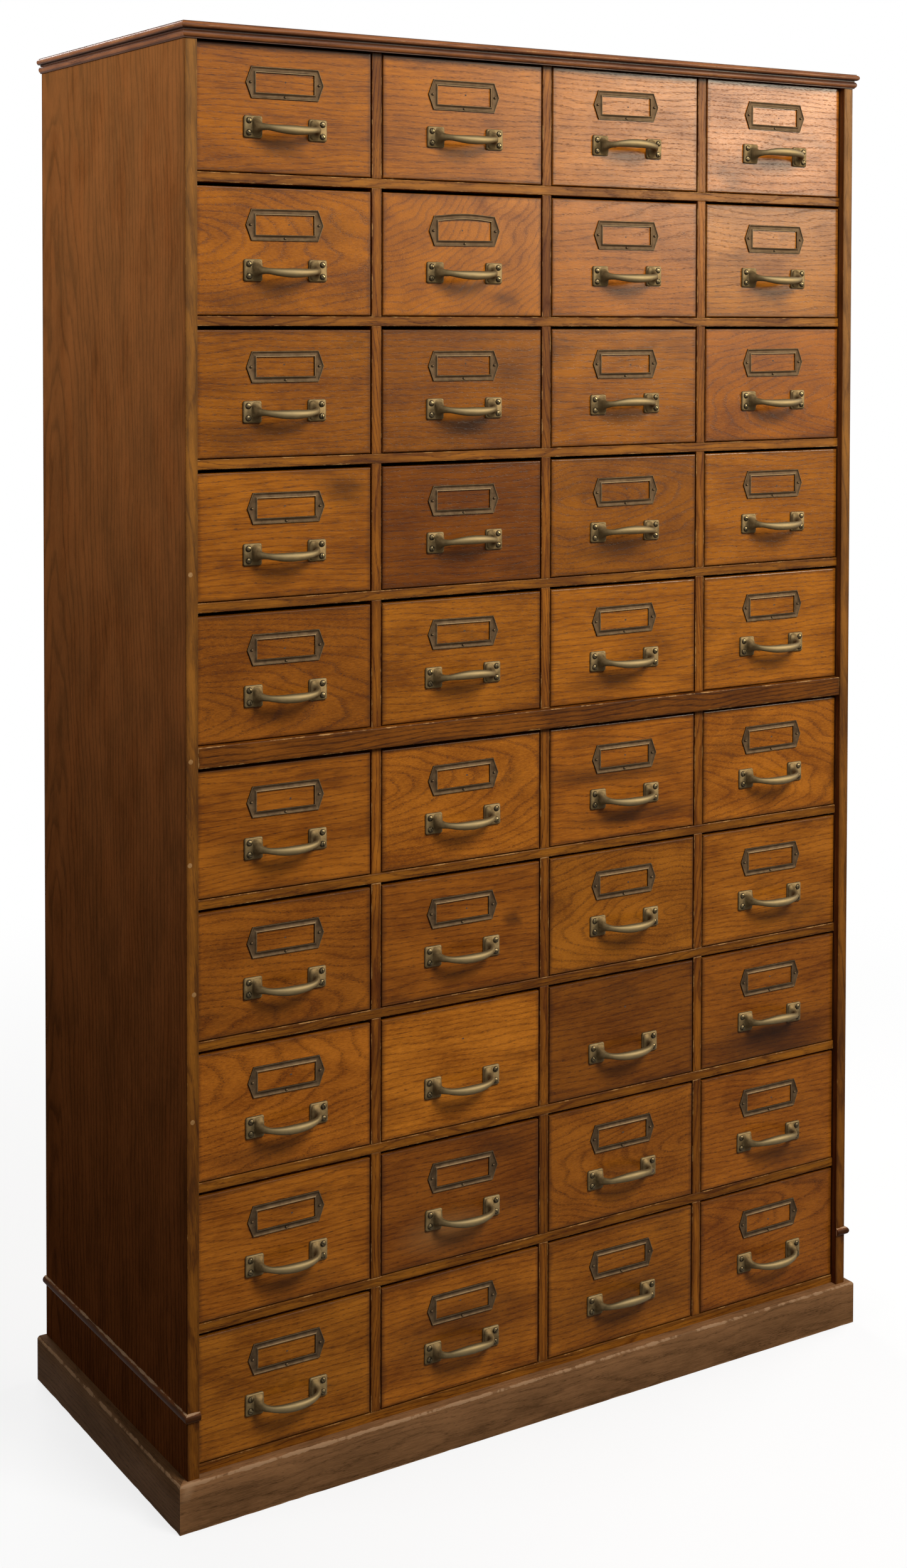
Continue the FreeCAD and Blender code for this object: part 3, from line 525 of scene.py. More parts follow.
worn_bead = varnished_wood("worn_stained_bead", pale="#7A4620", deep="#55300F", pore="#2A1408", bare="#B08E6C",
                           ring_gap=5 * MM, ring_depth=0.4, pore_depth=0.5, wear=1.1, gloss=0.5, shine=0.03)
for hand, turn in (("left", -1), ("right", 1)):
    bead_low, bead_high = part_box(f"{hand}_bead")
    bead_height = (bead_high.z - bead_low.z) / MM
    proud = (face_y - bead_low.y) / MM
    half_round = bead(0, bead_height, 0, proud, steps=10)
    arrises = [half_round[1], half_round[9]]
    corner = Vector((turn * half_width, face_y, bead_low.z))
    rear = Vector((turn * half_width, rear_y, bead_low.z))
    inner = Vector((bead_high.x if turn < 0 else bead_low.x, face_y, bead_low.z))
    strip = Timber(seed=51 + turn)
    outward = Vector((turn, 0, 0))
    if turn < 0:
        strip.moulding(half_round, arrises, rear, corner, outward, (0, 1))
        strip.moulding(half_round, arrises, corner, inner, to_front, (1, 0))
    else:
        strip.moulding(half_round, arrises, corner, rear, outward, (1, 0))
        strip.moulding(half_round, arrises, inner, corner, to_front, (0, 1))
    strip.piece(f"{hand}_side_bead", [worn_bead], "carcass", "side_wood", f"{hand}_bead", smooth=True)

# Inside: bottom board, rear rails, runners under the drawers' sides and guide strips between the
# drawers, all of plain planed wood that was never stained, gone brown with age.

bare_inside = varnished_wood("bare_planed_wood", pale="#A98558", deep="#7D5A36", pore="#4A321C",
                             bare="#B99A72", ring_gap=5 * MM, ring_depth=0.5, pore_depth=0.3,
                             wear=0.3, gloss=0.7, shine=0.2)
inside = Timber(seed=61)
for node, along in (("bottom_board", 0), ("rear_rails", 0), ("drawer_runners", 1), ("drawer_guides", 1)):
    for low, high in solids_of(node):
        inside.board(low, high, along, ease=0.5 * MM, shade=(inside.choose.uniform(-0.1, 0.1), 0, 1))
inside.piece("inner_frame", [bare_inside], "carcass", "inner_wood", "bottom_board", "rear_rails",
             "drawer_runners", "drawer_guides")

# Back: seven upright boards, tongued and grooved, nailed into the rabbets of the side panels.

back = Timber(seed=62)
boards = solids_of("back_boards")
joint_gap = 0.3 * MM
for number, (low, high) in enumerate(boards):
    if number + 1 < len(boards):
        high = Vector((boards[number + 1][0].x - joint_gap, high.y, high.z))
    back.board(low, high, along=2, ease=0.9 * MM, shade=(back.choose.uniform(-0.12, 0.08), 0, 1))
back.piece("back_boarding", [bare_inside], "carcass", "inner_wood", "back_boards")

# Front grid: thin rails between the rows, a thick one between the two banks of five, and short
# uprights butted between them. Same wood and varnish as the drawer fronts, darker where hands
# don't reach, with pale worn arrises along the rails.

grid_wood = varnished_wood("varnished_grid_wood", pale="#A0621C", deep="#663610", pore="#2E1609",
                           bare="#B08048", ring_gap=5 * MM, ring_depth=0.4, pore_depth=0.6,
                           wear=0.8, gloss=0.4, shine=0.04)
grid = Timber(seed=71)
for low, high in solids_of("front_rails") + solids_of("bottom_rail"):
    grid.board(low, high, along=0, ease=0.8 * MM, shade=(grid.choose.uniform(-0.12, 0.05), 0, 1))
for low, high in solids_of("front_dividers"):
    grid.board(low, high, along=2, ease=0.7 * MM, shade=(grid.choose.uniform(-0.2, 0.05), 0.5, 1))
grid.piece("front_grid", [grid_wood], "carcass", "front_wood", "front_rails", "bottom_rail", "front_dividers")
worn_rail_wood = varnished_wood("worn_middle_rail", pale="#8A4E14", deep="#472207", pore="#221006",
                                bare="#B4854C", ring_gap=6 * MM, ring_depth=0.4, pore_depth=0.6,
                                wear=0.9, gloss=0.45, shine=0.04)
mid_rail = Timber(seed=72)
mid_low, mid_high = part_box("mid_rail")
mid_rail.board(mid_low, mid_high, along=0, ease=1.4 * MM)
mid_rail.piece("middle_rail", [worn_rail_wood], "carcass", "front_wood", "mid_rail")

# Drawers. The front is a board of the best wood with easy edges; behind it two sides, a back and
# a bottom of bare wood, the sides nailed into the front's rabbets and the bottom slid into a
# groove. No two fronts come from the same board, so each has its own figure and shade.

drawer_front_wood = varnished_wood("varnished_drawer_front", pale="#AE661A", deep="#743C08", pore="#361C0A",
                                   bare="#C08C50", ring_gap=8 * MM, ring_depth=0.25, pore_depth=0.65,
                                   wear=0.55, gloss=0.28, shine=0.07, grime_and_shade=0.65)
ROWS, COLUMNS = 10, 4
FRONT_LIP, FRONT_EASE = 7 * MM, 1.6 * MM
BOX_THICK, BACK_DROP = 10 * MM, 8 * MM
# How much taller than in the drawing the fronts of each column are: less gap shows over the
# drawers on the right
FRONT_TALLER = {1: 1.8 * MM, 2: 2.0 * MM, 3: 2.8 * MM, 4: 3.0 * MM}
# Smudges, water stains and knots of single fronts in mm, as (right of the middle, over the middle,
# half width, half height, depth), with rubbed and scratched places as a depth under zero
MARKS = {
    (1, 1): [(0, -44, 34, 12, 0.7), (10, -40, 26, 8, -0.5)],
    (2, 1): [(60, 30, 40, 20, 0.3), (-60, -60, 60, 12, 0.4)],
    (2, 2): [(60, -56, 16, 8, 0.7), (-90, -70, 10, 5, 0.8)],
    (3, 1): [(-70, -50, 40, 16, 0.4)],
    (3, 2): [(20, -48, 50, 14, 0.9), (70, 20, 30, 20, 0.4)],
    (4, 1): [(84, 52, 34, 20, 0.9), (40, 66, 50, 10, 0.6)],
    (4, 3): [(-20, -50, 60, 14, 0.5)],
    (5, 3): [(-40, -52, 50, 14, 0.5)],
    (6, 1): [(-60, -30, 30, 20, 0.4)],
    (6, 3): [(-20, 10, 110, 14, 0.9), (20, -50, 100, 12, 0.9), (-60, 62, 60, 8, 0.7)],
    (7, 2): [(78, 8, 12, 10, 1.0)],
    (7, 4): [(50, -50, 60, 16, 0.5)],
    (8, 1): [(-40, -58, 70, 12, 0.6)],
    (8, 4): [(0, -52, 120, 34, 0.8)],
    (9, 1): [(20, -56, 60, 14, 0.5)],
    (9, 2): [(-30, -40, 60, 26, -0.4), (50, 50, 60, 12, 0.5)],
    (9, 4): [(40, -56, 60, 14, 0.6)],
    (10, 2): [(0, -10, 110, 50, 0.5)],
    (10, 3): [(0, -30, 110, 40, 0.5)],
}
# How a front was sawn, as (heart of the tree to the side, behind, drift): arches where the heart
# drifts away close behind, and straight lines where it lies far to the side, as with the others
FIGURES = {
    (2, 1): (-10, 8, 60), (2, 2): (-120, 60, 150), (4, 3): (-20, 20, -60), (5, 1): (40, 10, 50),
    (6, 2): (-30, 12, 60), (7, 3): (20, 60, -70), (7, 1): (60, 20, 40), (8, 1): (-40, 24, 50),
    (9, 3): (0, 60, -60), (10, 4): (-50, 16, 40), (3, 4): (30, 70, -60), (6, 4): (30, 20, 60),
}
# Fronts whose board is clearly darker, lighter or redder than its neighbours, as (light, red)
ODD_FRONTS = {
    (1, 1): (-0.1, 0.1), (2, 1): (-0.06, 0.1), (3, 1): (-0.18, 0), (3, 2): (-0.32, 0.2), (3, 3): (-0.14, 0),
    (3, 4): (-0.1, 0.5), (4, 2): (-0.5, 0.9), (4, 3): (-0.24, 0), (5, 1): (-0.22, 0.2), (5, 3): (0.1, -0.2),
    (5, 4): (0.1, -0.2), (6, 2): (0.12, 0), (6, 3): (0.04, 0.2), (6, 4): (0.16, 0), (7, 1): (-0.14, 0.2),
    (7, 2): (-0.16, 0.3), (8, 1): (0.14, 0.2), (8, 2): (0.34, -0.2), (8, 3): (-0.36, 0.3), (8, 4): (-0.12, 0.3),
    (9, 1): (0.12, 0), (9, 2): (-0.28, 0.5), (10, 2): (0.1, 0),
}


# Nail and screw holes are dark discs laid on the face: painted shade of the hole, with old soiling
nail_hole = bpy.data.materials.new("dark_nail_hole")
nail_hole.use_nodes = True
tree = nail_hole.node_tree
hole_soiling_and_shade = add(tree, "TexNoise", {"Scale": 900.0}).outputs["Fac"]
hole_soiling_and_shade = add(tree, "Mix", {"Factor": hole_soiling_and_shade, "A": linear("#1E0F07"), "B": linear("#3A2210")}, data_type="RGBA")
tree.links.new(hole_soiling_and_shade.outputs[2], tree.nodes["Principled BSDF"].inputs["Base Color"])
tree.nodes["Principled BSDF"].inputs["Roughness"].default_value = 0.9


def drawer_node(row, column):
    return f"drawer_r{row:02d}_c{column}"


drawer_places = {}
for row in range(1, ROWS + 1):
    for column in range(1, COLUMNS + 1):
        node = drawer_node(row, column)
        solids = solids_of(node)
        front_low, front_high = max(solids, key=lambda s: s[1].z - s[0].z)
        box_low, box_high = max(solids, key=lambda s: (s[1].y - s[0].y) * (s[1].z - s[0].z))
        bottom_low, bottom_high = max(solids, key=lambda s: (s[1].y - s[0].y) / (s[1].z - s[0].z))
        front_high = front_high + Vector((0, 0, FRONT_TALLER[column]))
        drawer_places[row, column] = (front_low, front_high)
        drawer = Timber(seed=100 * row + column)
        light, red = ODD_FRONTS.get((row, column), (drawer.choose.uniform(-0.07, 0.07), drawer.choose.uniform(-0.4, 0.4)))
        aside = drawer.choose.choice((-1, 1)) * drawer.choose.uniform(110, 320)
        tree = drawer.tree(*FIGURES.get((row, column), (aside, drawer.choose.uniform(20, 70))))
        whole = (front_low, front_high)
        lip_high = Vector((front_high.x, front_low.y + FRONT_LIP, front_high.z))
        drawer.board(front_low, lip_high, along=0, ease=FRONT_EASE, shade=(light, red, 1), tree=tree,
                     front_only=True, whole=whole)
        marks = MARKS.get((row, column), [])
        drawer.mark(marks, front_low, front_high)
        # The hole of the nail that once held a card, inside the label holder's window, drawn as a dark disc of painted
        # shade and old soiling
        nail = Vector(((front_low.x + front_high.x) / 2 + drawer.choose.uniform(-3, 9) * MM, front_low.y - 0.1 * MM,
                       front_low.z + (109 + drawer.choose.uniform(-2, 4)) * MM))
        wide, tall = drawer.choose.uniform(0.9, 1.8) * MM, drawer.choose.uniform(0.8, 1.1) * MM
        drawer.peg(nail, wide, tall, 1 * MM, wood=2)
        inner_low = Vector((box_low.x + BOX_THICK, front_low.y + FRONT_LIP, front_low.z))
        inner_high = Vector((box_high.x - BOX_THICK, front_high.y, front_high.z))
        drawer.board(inner_low, inner_high, along=0, ease=0, shade=(light, red, 1), tree=tree, whole=whole)
        left_high = Vector((inner_low.x, box_high.y, box_high.z))
        right_low = Vector((inner_high.x, box_low.y, box_low.z))
        back_low = Vector((inner_low.x, box_high.y - BOX_THICK, bottom_high.z))
        back_high = Vector((inner_high.x, box_high.y, box_high.z - BACK_DROP))
        for low, high, along in (
            (box_low, left_high, 1), (right_low, box_high, 1), (back_low, back_high, 0),
            (bottom_low, bottom_high, 0),
        ):
            drawer.board(low, high, along, ease=0.5 * MM, wood=1)
        drawer.piece(f"{node}_box", [drawer_front_wood, bare_inside, nail_hole], node, "drawer_wood", node)

# Pulls: one brass casting each, with two screw plates, a boss that rises from each plate and
# narrows to a neck, and a bowed grip that swells in the middle and droops a little. Brown with
# age, and polished by hands along the grip. Eleven of them were screwed on the other way up.

PULL_OVER_SHELF = 56 * MM
PULL_WIDTH, PLATE_WIDTH, PLATE_HEIGHT, PLATE_THICK = 114.0, 25.0, 27.0, 3.0
TURNED_PULLS = {(1, 3), (1, 4), (3, 3), (4, 2), (4, 3), (5, 2), (8, 4), (9, 3), (9, 4), (10, 2), (10, 3)}
# Sections of the casting in mm: inset from its end, reach out from the drawer, droop, height,
# thickness, and how square the section is (2 is an ellipse)
GRIP_SECTIONS = [
    (17.2, 0.5, 0.0, 25.0, 14.6, 4.0),
    (17.2, 3.2, 0.0, 24.4, 14.2, 3.8),
    (17.0, 4.6, 0.0, 20.6, 12.4, 3.2),
    (16.8, 6.8, 0.0, 16.2, 10.4, 2.8),
    (17.2, 9.8, 0.1, 12.4, 8.6, 2.6),
    (18.4, 13.2, 0.4, 9.8, 7.3, 2.5),
    (20.8, 16.8, 0.8, 8.3, 6.7, 2.4),
    (24.0, 19.5, 1.2, 7.6, 6.8, 2.3),
    (28.0, 21.6, 1.8, 8.0, 7.4, 2.3),
    (35.0, 23.8, 2.6, 9.2, 8.4, 2.2),
    (45.0, 25.4, 3.3, 10.8, 9.8, 2.1),
    (57.0, 26.0, 3.5, 11.6, 10.6, 2.1),
]


def between(rows, place):
    """A row between the rows of a table, on a smooth curve through them."""
    low = min(int(place), len(rows) - 2)
    part = place - low
    found = []
    for column in range(len(rows[0])):
        p0, p1, p2, p3 = (rows[min(max(low + i, 0), len(rows) - 1)][column] for i in (-1, 0, 1, 2))
        found.append(0.5 * (2 * p1 + (p2 - p0) * part + (2 * p0 - 5 * p1 + 4 * p2 - p3) * part ** 2
                            + (3 * p1 - p0 - 3 * p2 + p3) * part ** 3))
    return found


def ring_of(mesh, points, rub=0.3):
    """Points of one ring, and how much each is rubbed, from 0 to 1."""
    rubbed = mesh.verts.layers.float.get("rub") or mesh.verts.layers.float.new("rub")
    ring = [mesh.verts.new(point) for point in points]
    for vert in ring:
        vert[rubbed] = rub
    return ring


def skin(mesh, rings, kind=0, cap_first=True, cap_last=True):
    """Faces between closed rings of as many points each."""
    made = []
    for one, other in zip(rings, rings[1:]):
        for i in range(len(one)):
            j = (i + 1) % len(one)
            made.append(mesh.faces.new((one[i], one[j], other[j], other[i])))
    if cap_first:
        made.append(mesh.faces.new(rings[0]))
    if cap_last:
        made.append(mesh.faces.new(rings[-1]))
    for face in made:
        face.material_index = kind


def rounded_rectangle(width, height, radius, steps=4):
    corners = ((1, 1, 0), (-1, 1, 90), (-1, -1, 180), (1, -1, 270))
    return [(x * (width / 2 - radius) + radius * math.cos(math.radians(turn + 90 * step / steps)),
             z * (height / 2 - radius) + radius * math.sin(math.radians(turn + 90 * step / steps)))
            for x, z, turn in corners for step in range(steps + 1)]


def cast_pull(mesh):
    """The casting in mm, about its middle: X across, -Y out of the drawer, Z up."""
    half = []
    steps = 26
    for step in range(steps + 1):
        place = step / steps * (len(GRIP_SECTIONS) - 1)
        half.append(between(GRIP_SECTIONS, place))
    sections = [(inset - PULL_WIDTH / 2, *rest) for inset, *rest in half]
    sections += [(PULL_WIDTH / 2 - inset, *rest) for inset, *rest in reversed(half[:-1])]
    rings = []
    for number, (x, out, droop, tall, thick, square) in enumerate(sections):
        before = sections[max(number - 1, 0)]
        after = sections[min(number + 1, len(sections) - 1)]
        way = Vector((after[0] - before[0], before[1] - after[1], 0)).normalized()
        if number == 0:
            way = Vector((0, -1, 0))
        if number == len(sections) - 1:
            way = Vector((0, 1, 0))
        side = Vector((way.y, -way.x, 0))
        ring = []
        for turn in range(20):
            angle = 2 * math.pi * turn / 20
            c, s = math.cos(angle), math.sin(angle)
            across = math.copysign(abs(c) ** (2 / square), c) * thick / 2
            up = math.copysign(abs(s) ** (2 / square), s) * tall / 2
            ring.append(Vector((x, -out, -droop + up)) + side * across)
        rings.append(ring_of(mesh, ring, rub=min(1.0, out / 24)))
    skin(mesh, rings)
    for hand in (-1, 1):
        middle = hand * (PULL_WIDTH - PLATE_WIDTH) / 2
        levels = ((0, 0, 0), (1.6, 0, 0.3), (2.4, 0.35, 0.9), (PLATE_THICK, 1.2, 0.6))
        plate = []
        for out, inset, rub in levels:
            outline = rounded_rectangle(PLATE_WIDTH - 2 * inset, PLATE_HEIGHT - 2 * inset, 2.6 - inset * 0.6)
            plate.append(ring_of(mesh, [Vector((middle + x, -out, z)) for x, z in outline], rub))
        skin(mesh, plate)


# Screws: round-headed brass, one slot, each left at whatever angle it was tight. Two to a plate,
# one over the other near its outer edge.

SCREW_RADIUS, SCREW_RISE, SLOT_WIDTH, SLOT_DEPTH = 4.0, 2.3, 1.1, 1.1
SCREW_INSET, SCREW_OFF = 6.4, 7.4


def slotted_head(mesh, x, out, z, angle, kind):
    """A dome of fine strips across, with the strips of the slot sunk in."""
    lines = [-1.0, -0.93, -0.75, -0.5, -0.3, -0.14, -0.139, 0.139, 0.14, 0.3, 0.5, 0.75, 0.93, 1.0]
    strips = []
    for line in lines:
        u = line * SCREW_RADIUS
        reach = math.sqrt(max(SCREW_RADIUS ** 2 - u ** 2, 0.0))
        strip = []
        for step in range(9):
            v = reach * math.sin(math.pi / 2 * (step / 4 - 1))
            rise = SCREW_RISE * math.sqrt(max(0.0, 1 - (u * u + v * v) / SCREW_RADIUS ** 2)) ** 0.8
            if abs(line) < 0.1395:
                rise = min(rise, max(0.0, SCREW_RISE - SLOT_DEPTH))
            c, s = math.cos(angle), math.sin(angle)
            strip += ring_of(mesh, [(x + u * c - v * s, -out - rise, z + u * s + v * c)], rub=rise / SCREW_RISE)
        strips.append(strip)
    for one, other in zip(strips, strips[1:]):
        for i in range(8):
            face = mesh.faces.new((one[i], one[i + 1], other[i + 1], other[i]))
            face.material_index = kind
    rim = [strip[0] for strip in strips] + [strip[-1] for strip in reversed(strips)]
    mesh.faces.new(rim).material_index = kind
    bmesh.ops.remove_doubles(mesh, verts=strips[0] + strips[-1], dist=0.001)


# Label holders: a six-sided frame stamped from brass sheet and bronzed dark, with a raised rib
# round the outside, a raised lip round the window and three small round-headed pins.

HOLDER_OVER_SHELF = 110.5 * MM
BARE_FRONTS = {(8, 2), (8, 3)}
HOLDER_WIDTH, HOLDER_EDGE, HOLDER_HEIGHT = 107.0, 92.0, 38.5
WINDOW_WIDTH, WINDOW_HEIGHT = 80.0, 24.0


def holder_outline(inset):
    """The six-sided outline, drawn in by inset."""
    point = (HOLDER_WIDTH - HOLDER_EDGE) / 2
    slope = math.atan2(HOLDER_HEIGHT / 2, point)
    tip = HOLDER_WIDTH / 2 - inset / math.sin(slope)
    shoulder_z = HOLDER_HEIGHT / 2 - inset
    shoulder_x = tip - shoulder_z / math.tan(slope)
    return [(tip, 0), (shoulder_x, shoulder_z), (-shoulder_x, shoulder_z), (-tip, 0),
            (-shoulder_x, -shoulder_z), (shoulder_x, -shoulder_z)]


def window_outline(grow):
    x, z = WINDOW_WIDTH / 2 + grow, WINDOW_HEIGHT / 2 + grow
    return [(x, 0), (x, z), (-x, z), (-x, 0), (-x, -z), (x, -z)]


def stamped_holder(mesh, kind, lifted=0.0):
    """The frame in mm, about its middle. lifted bends its top edge up in the middle."""
    levels = [
        (holder_outline(0.0), 0.0), (holder_outline(0.0), 1.4), (holder_outline(0.35), 1.9),
        (holder_outline(0.9), 1.9), (holder_outline(1.5), 1.3), (holder_outline(2.4), 0.9),
        (window_outline(3.4), 0.8), (window_outline(2.2), 1.1), (window_outline(1.3), 1.8),
        (window_outline(0.8), 2.2), (window_outline(0.3), 2.2), (window_outline(0.0), 1.6),
        (window_outline(0.0), 0.1),
    ]
    rings = []
    for outline, out in levels:
        ring = []
        for i in range(6):
            (x0, z0), (x1, z1) = outline[i], outline[(i + 1) % 6]
            for step in range(6):
                x, z = x0 + (x1 - x0) * step / 6, z0 + (z1 - z0) * step / 6
                bend = lifted * max(0.0, 1 - (x / 40) ** 2) if z > WINDOW_HEIGHT / 2 - 0.5 else 0.0
                ring.append(Vector((x, -out - bend * 0.4, z + bend)))
        # Raised parts are brighter: partly rubbed, partly a painted highlight along the rib and the lip
        rings.append(ring_of(mesh, ring, rub=min(1.0, max(0.0, (out - 0.9) / 1.2))))
    skin(mesh, rings + rings[:1], kind, cap_first=False, cap_last=False)
    for x, z in ((HOLDER_WIDTH / 2 - 6.5, 0), (6.5 - HOLDER_WIDTH / 2, 0), (0, 2.6 - HOLDER_HEIGHT / 2)):
        pin = []
        for radius, out in ((1.7, 0.8), (1.7, 1.6), (1.2, 2.3), (0.5, 2.6)):
            pin.append(ring_of(mesh, [(x + radius * math.cos(math.pi * i / 5), -out,
                                       z + radius * math.sin(math.pi * i / 5)) for i in range(10)],
                               rub=out / 3))
        skin(mesh, pin, kind)


def aged_brass(name, dark, mid, rubbed, smooth_from, rough):
    """Cast or stamped brass left to tarnish: olive brown in a thin film, darker in the hollows,
    darker on the faces that look down as painted shade, and greyer and brighter where it is rubbed.
    Casting grain is about 1 mm."""
    material = bpy.data.materials.new(name)
    material.use_nodes = True
    tree = material.node_tree
    shader = tree.nodes["Principled BSDF"]
    place = add(tree, "TexCoord").outputs["Object"]
    film = add(tree, "TexNoise", {"Vector": place, "Scale": 1 / (9 * MM), "Detail": 5.0, "Roughness": 0.65})
    film = film.outputs["Fac"]
    rub = add(tree, "Attribute", attribute_name="rub").outputs["Fac"]
    rub = add(tree, "Math", {0: film, 1: 0.6, 2: rub}, operation="MULTIPLY_ADD").outputs[0]
    rub = add(tree, "MapRange", {"Value": rub, "From Min": smooth_from, "From Max": smooth_from + 0.8},
              interpolation_type="SMOOTHSTEP").outputs[0]
    # Painted shade: faces that look down are made darker and less rubbed
    facing = add(tree, "SeparateXYZ", {0: add(tree, "NewGeometry").outputs["Normal"]}).outputs[2]
    under = add(tree, "MapRange", {"Value": facing, "From Min": 0.25, "From Max": -0.75},
                interpolation_type="SMOOTHSTEP").outputs[0]
    stain = add(tree, "MapRange", {"Value": film, "From Min": 0.35, "From Max": 0.65}).outputs[0]
    stain = add(tree, "Math", {0: under, 1: -0.9, 2: stain}, operation="MULTIPLY_ADD", use_clamp=True).outputs[0]
    rub = add(tree, "Math", {0: under, 1: -0.75, 2: rub}, operation="MULTIPLY_ADD", use_clamp=True).outputs[0]
    colour = add(tree, "Mix", {"Factor": stain, "A": linear(dark), "B": linear(mid)}, data_type="RGBA").outputs[2]
    colour = add(tree, "Mix", {"Factor": rub, "A": colour, "B": linear(rubbed)}, data_type="RGBA").outputs[2]
    tree.links.new(colour, shader.inputs["Base Color"])
    shader.inputs["Metallic"].default_value = 1.0
    worn = add(tree, "Math", {0: rub, 1: -0.1, 2: rough}, operation="MULTIPLY_ADD").outputs[0]
    worn = add(tree, "Math", {0: film, 1: 0.2, 2: worn}, operation="MULTIPLY_ADD").outputs[0]
    tree.links.new(worn, shader.inputs["Roughness"])
    grit = add(tree, "TexNoise", {"Vector": place, "Scale": 1 / (1.1 * MM), "Detail": 2.0}).outputs["Fac"]
    bump = add(tree, "Bump", {"Height": grit, "Strength": 0.25, "Distance": 0.12 * MM})
    tree.links.new(bump.outputs[0], shader.inputs["Normal"])
    return material


cast_brass = aged_brass("cast_aged_brass", dark="#4A3C26", mid="#6C5A3D", rubbed="#5E5139", smooth_from=0.6, rough=0.6)
bronzed_sheet = aged_brass("bronzed_brass_sheet", dark="#33271B", mid="#463828", rubbed="#554632",
                           smooth_from=0.7, rough=0.55)
screw_brass = aged_brass("tarnished_screw_brass", dark="#2A2319", mid="#463B2A", rubbed="#5E5239",
                         smooth_from=0.75, rough=0.32)
# One screw has been lost, and its hole is a dark disc of painted shade and old soiling in a ring of
# cleaner brass. Its pull is one of those mounted the other way up, so its lower right corner is the
# casting's upper left
LOST_SCREW = ((9, 3), (-1, SCREW_OFF))
for (row, column), (front_low, front_high) in drawer_places.items():
    node = drawer_node(row, column)
    chance = random.Random(1000 + 10 * row + column)
    middle = (front_low.x + front_high.x) / 2
    shelf = front_low.z - 1 * MM
    brass = bmesh.new()
    cast_pull(brass)
    for hand in (-1, 1):
        for off in (-SCREW_OFF, SCREW_OFF):
            x = hand * (PULL_WIDTH / 2 - SCREW_INSET)
            if (row, column) == LOST_SCREW[0] and (hand, off) == LOST_SCREW[1]:
                for radius, proud, kind in ((4.2, 0.05, 0), (2.8, 0.1, 3)):
                    turns = [math.pi * i / 7 for i in range(14)]
                    rims = [[(x + radius * math.cos(t), -out, off + radius * math.sin(t)) for t in turns]
                            for out in (1.0, PLATE_THICK + proud)]
                    skin(brass, [ring_of(brass, rim, rub=1.0) for rim in rims], kind)
                continue
            slotted_head(brass, x, PLATE_THICK - 0.1, off, chance.uniform(0, math.pi), kind=1)
    turn = math.pi if (row, column) in TURNED_PULLS else 0.0
    turn += math.radians(chance.uniform(-0.8, 0.8))
    place = Vector((middle + chance.uniform(-1.5, 1.5) * MM, front_low.y,
                    shelf + PULL_OVER_SHELF + chance.uniform(-1, 1) * MM))
    bmesh.ops.transform(brass, matrix=Matrix.Translation(place) @ Matrix.Rotation(turn, 4, "Y")
                        @ Matrix.Scale(MM, 4), verts=brass.verts)
    if (row, column) not in BARE_FRONTS:
        frame_mesh = bmesh.new()
        stamped_holder(frame_mesh, kind=2, lifted=3.0 if (row, column) == (2, 2) else 0.0)
        place = Vector((middle + chance.uniform(-1, 1) * MM, front_low.y,
                        shelf + HOLDER_OVER_SHELF + chance.uniform(-0.8, 0.8) * MM))
        tilt = math.radians(chance.uniform(-0.7, 0.7))
        bmesh.ops.transform(frame_mesh, matrix=Matrix.Translation(place) @ Matrix.Rotation(tilt, 4, "Y")
                            @ Matrix.Scale(MM, 4), verts=frame_mesh.verts)
        spare = bpy.data.meshes.new("holder")
        frame_mesh.to_mesh(spare)
        frame_mesh.free()
        brass.from_mesh(spare)
        bpy.data.meshes.remove(spare)
    bmesh.ops.recalc_face_normals(brass, faces=brass.faces)
    data = bpy.data.meshes.new(f"{node}_brassware")
    brass.to_mesh(data)
    brass.free()
    for face in data.polygons:
        face.use_smooth = True
    data.set_sharp_from_angle(angle=math.radians(42))
    for metal in (cast_brass, screw_brass, bronzed_sheet, nail_hole):
        data.materials.append(metal)
    made = bpy.data.objects.new(f"{node}_brassware", data)
    bpy.context.scene.collection.objects.link(made)
    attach(made, node)

# Camera and lights, as for a studio photograph: a white floor, one large soft lamp high in front,
# smaller ones on the left, the right and behind, a sheen lamp on the right, and a pale room that
# fills the shadows.

camera = bpy.data.objects.new("camera", bpy.data.cameras.new("camera"))
bpy.context.scene.collection.objects.link(camera)
bpy.context.scene.camera = camera
PHOTO_HEIGHT_PX = 2500
FOCAL_PX = 3499.8
camera.data.sensor_width = 36.0
camera.data.lens = FOCAL_PX / PHOTO_HEIGHT_PX * camera.data.sensor_width
camera.data.shift_y = -0.25
camera.location = (-1.6363, -2.5949, 1.4568)
camera.rotation_euler = (math.radians(88.2181), math.radians(-0.11), math.radians(-32.0082))

floor_mesh = bmesh.new()
bmesh.ops.create_grid(floor_mesh, x_segments=1, y_segments=1, size=30)
floor_data = bpy.data.meshes.new("floor")
floor_mesh.to_mesh(floor_data)
floor_mesh.free()
floor = bpy.data.objects.new("floor", floor_data)
bpy.context.scene.collection.objects.link(floor)
white_floor = bpy.data.materials.new("white_studio_floor")
white_floor.use_nodes = True
tree = white_floor.node_tree
tree.nodes["Principled BSDF"].inputs["Roughness"].default_value = 0.9
path = add(tree, "LightPath").outputs
seen = add(tree, "Math", {0: path["Is Camera Ray"], 1: path["Is Glossy Ray"]}, operation="MAXIMUM").outputs[0]
seen = add(tree, "Math", {0: seen, 1: path["Is Transmission Ray"]}, operation="MAXIMUM").outputs[0]
paint = add(tree, "Mix", {"Factor": seen, "A": linear("#3C3C3B"), "B": linear("#F2F1EF")}, data_type="RGBA").outputs[2]
tree.links.new(paint, tree.nodes["Principled BSDF"].inputs["Base Color"])
far = add(tree, "VectorMath", {0: add(tree, "TexCoord").outputs["Object"]}, operation="LENGTH").outputs["Value"]
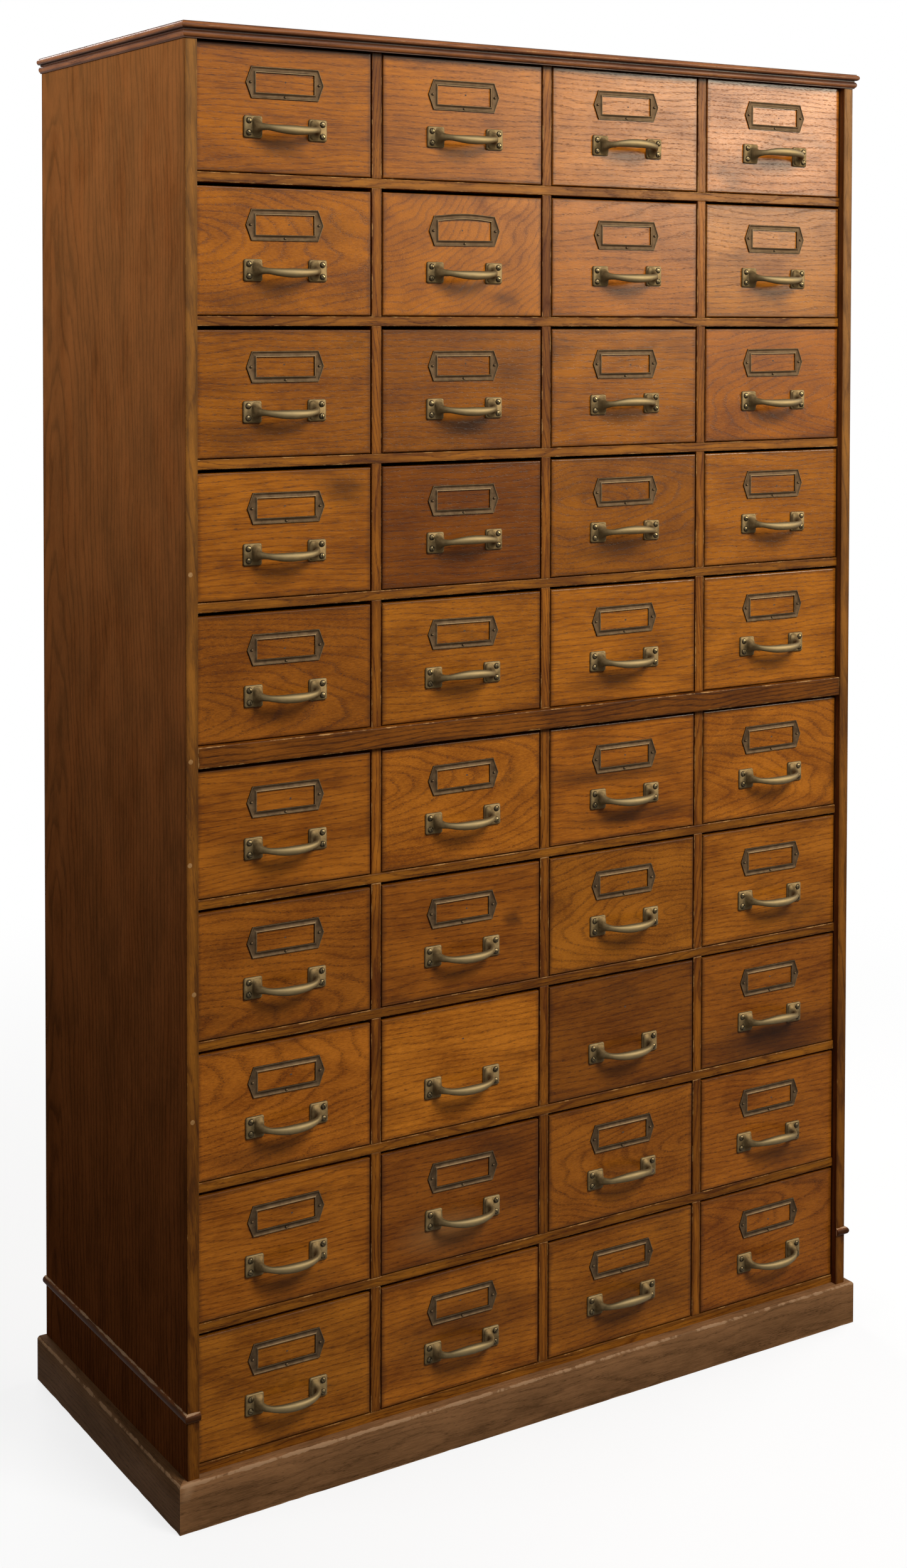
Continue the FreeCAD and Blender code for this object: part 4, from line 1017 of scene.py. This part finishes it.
far = add(tree, "MapRange", {"Value": far, "From Min": 0.8, "From Max": 2.6, "To Min": 0.8, "To Max": 1.0},
          interpolation_type="SMOOTHSTEP").outputs[0]
lit = add(tree, "Math", {0: seen, 1: far}, operation="MULTIPLY").outputs[0]
glow = add(tree, "Emission", {"Color": (1, 1, 1, 1), "Strength": 1.0}).outputs[0]
mixed = add(tree, "MixShader", {0: lit, 1: tree.nodes["Principled BSDF"].outputs[0], 2: glow}).outputs[0]
tree.links.new(mixed, tree.nodes["Material Output"].inputs["Surface"])
floor_data.materials.append(white_floor)

world = bpy.data.worlds.new("studio")
bpy.context.scene.world = world
world.use_nodes = True
tree = world.node_tree
path = add(tree, "LightPath").outputs
seen = add(tree, "Math", {0: path["Is Camera Ray"], 1: path["Is Glossy Ray"]}, operation="MAXIMUM").outputs[0]
seen = add(tree, "Math", {0: seen, 1: path["Is Transmission Ray"]}, operation="MAXIMUM").outputs[0]
strength = add(tree, "MapRange", {"Value": seen, "To Min": 0.08, "To Max": 1.0}).outputs[0]
tree.links.new(strength, tree.nodes["Background"].inputs["Strength"])
tree.nodes["Background"].inputs["Color"].default_value = (1, 1, 1, 1)

# The sheen lamp only shows as a soft reflection on the varnish of the upper right drawers
for name, place, aim, size, power, spread in (
    ("key_lamp", (0.55, -2.6, 3.2), (0.4, 0.0, 1.7), 1.4, 126, 180),
    ("side_lamp", (-2.2, 0.0, 2.35), (-0.4, 0.0, 1.95), 1.2, 15, 100),
    ("right_lamp", (2.6, 0.3, 2.3), (0.5, 0.0, 1.0), 1.2, 16, 120),
    ("back_lamp", (0.2, 3.0, 2.6), (0.0, 0.2, 1.1), 1.4, 34, 120),
    ("sheen_lamp", (2.55, -2.75, 2.25), (0.2, 0.0, 1.7), 0.9, 255, 180),
):
    lamp = bpy.data.lights.new(name, "AREA")
    lamp.shape = "SQUARE"
    lamp.size = size
    lamp.energy = power
    lamp.color = (1.0, 0.9, 0.72) if name == "sheen_lamp" else (1.0, 1.0, 1.0)
    lamp.spread = math.radians(spread)
    stand = bpy.data.objects.new(name, lamp)
    stand.location = place
    stand.rotation_euler = (Vector(aim) - Vector(place)).to_track_quat("-Z", "Y").to_euler()
    stand.visible_camera = False
    stand.visible_diffuse = name != "sheen_lamp"
    bpy.context.scene.collection.objects.link(stand)

bpy.context.scene.view_settings.view_transform = "Standard"
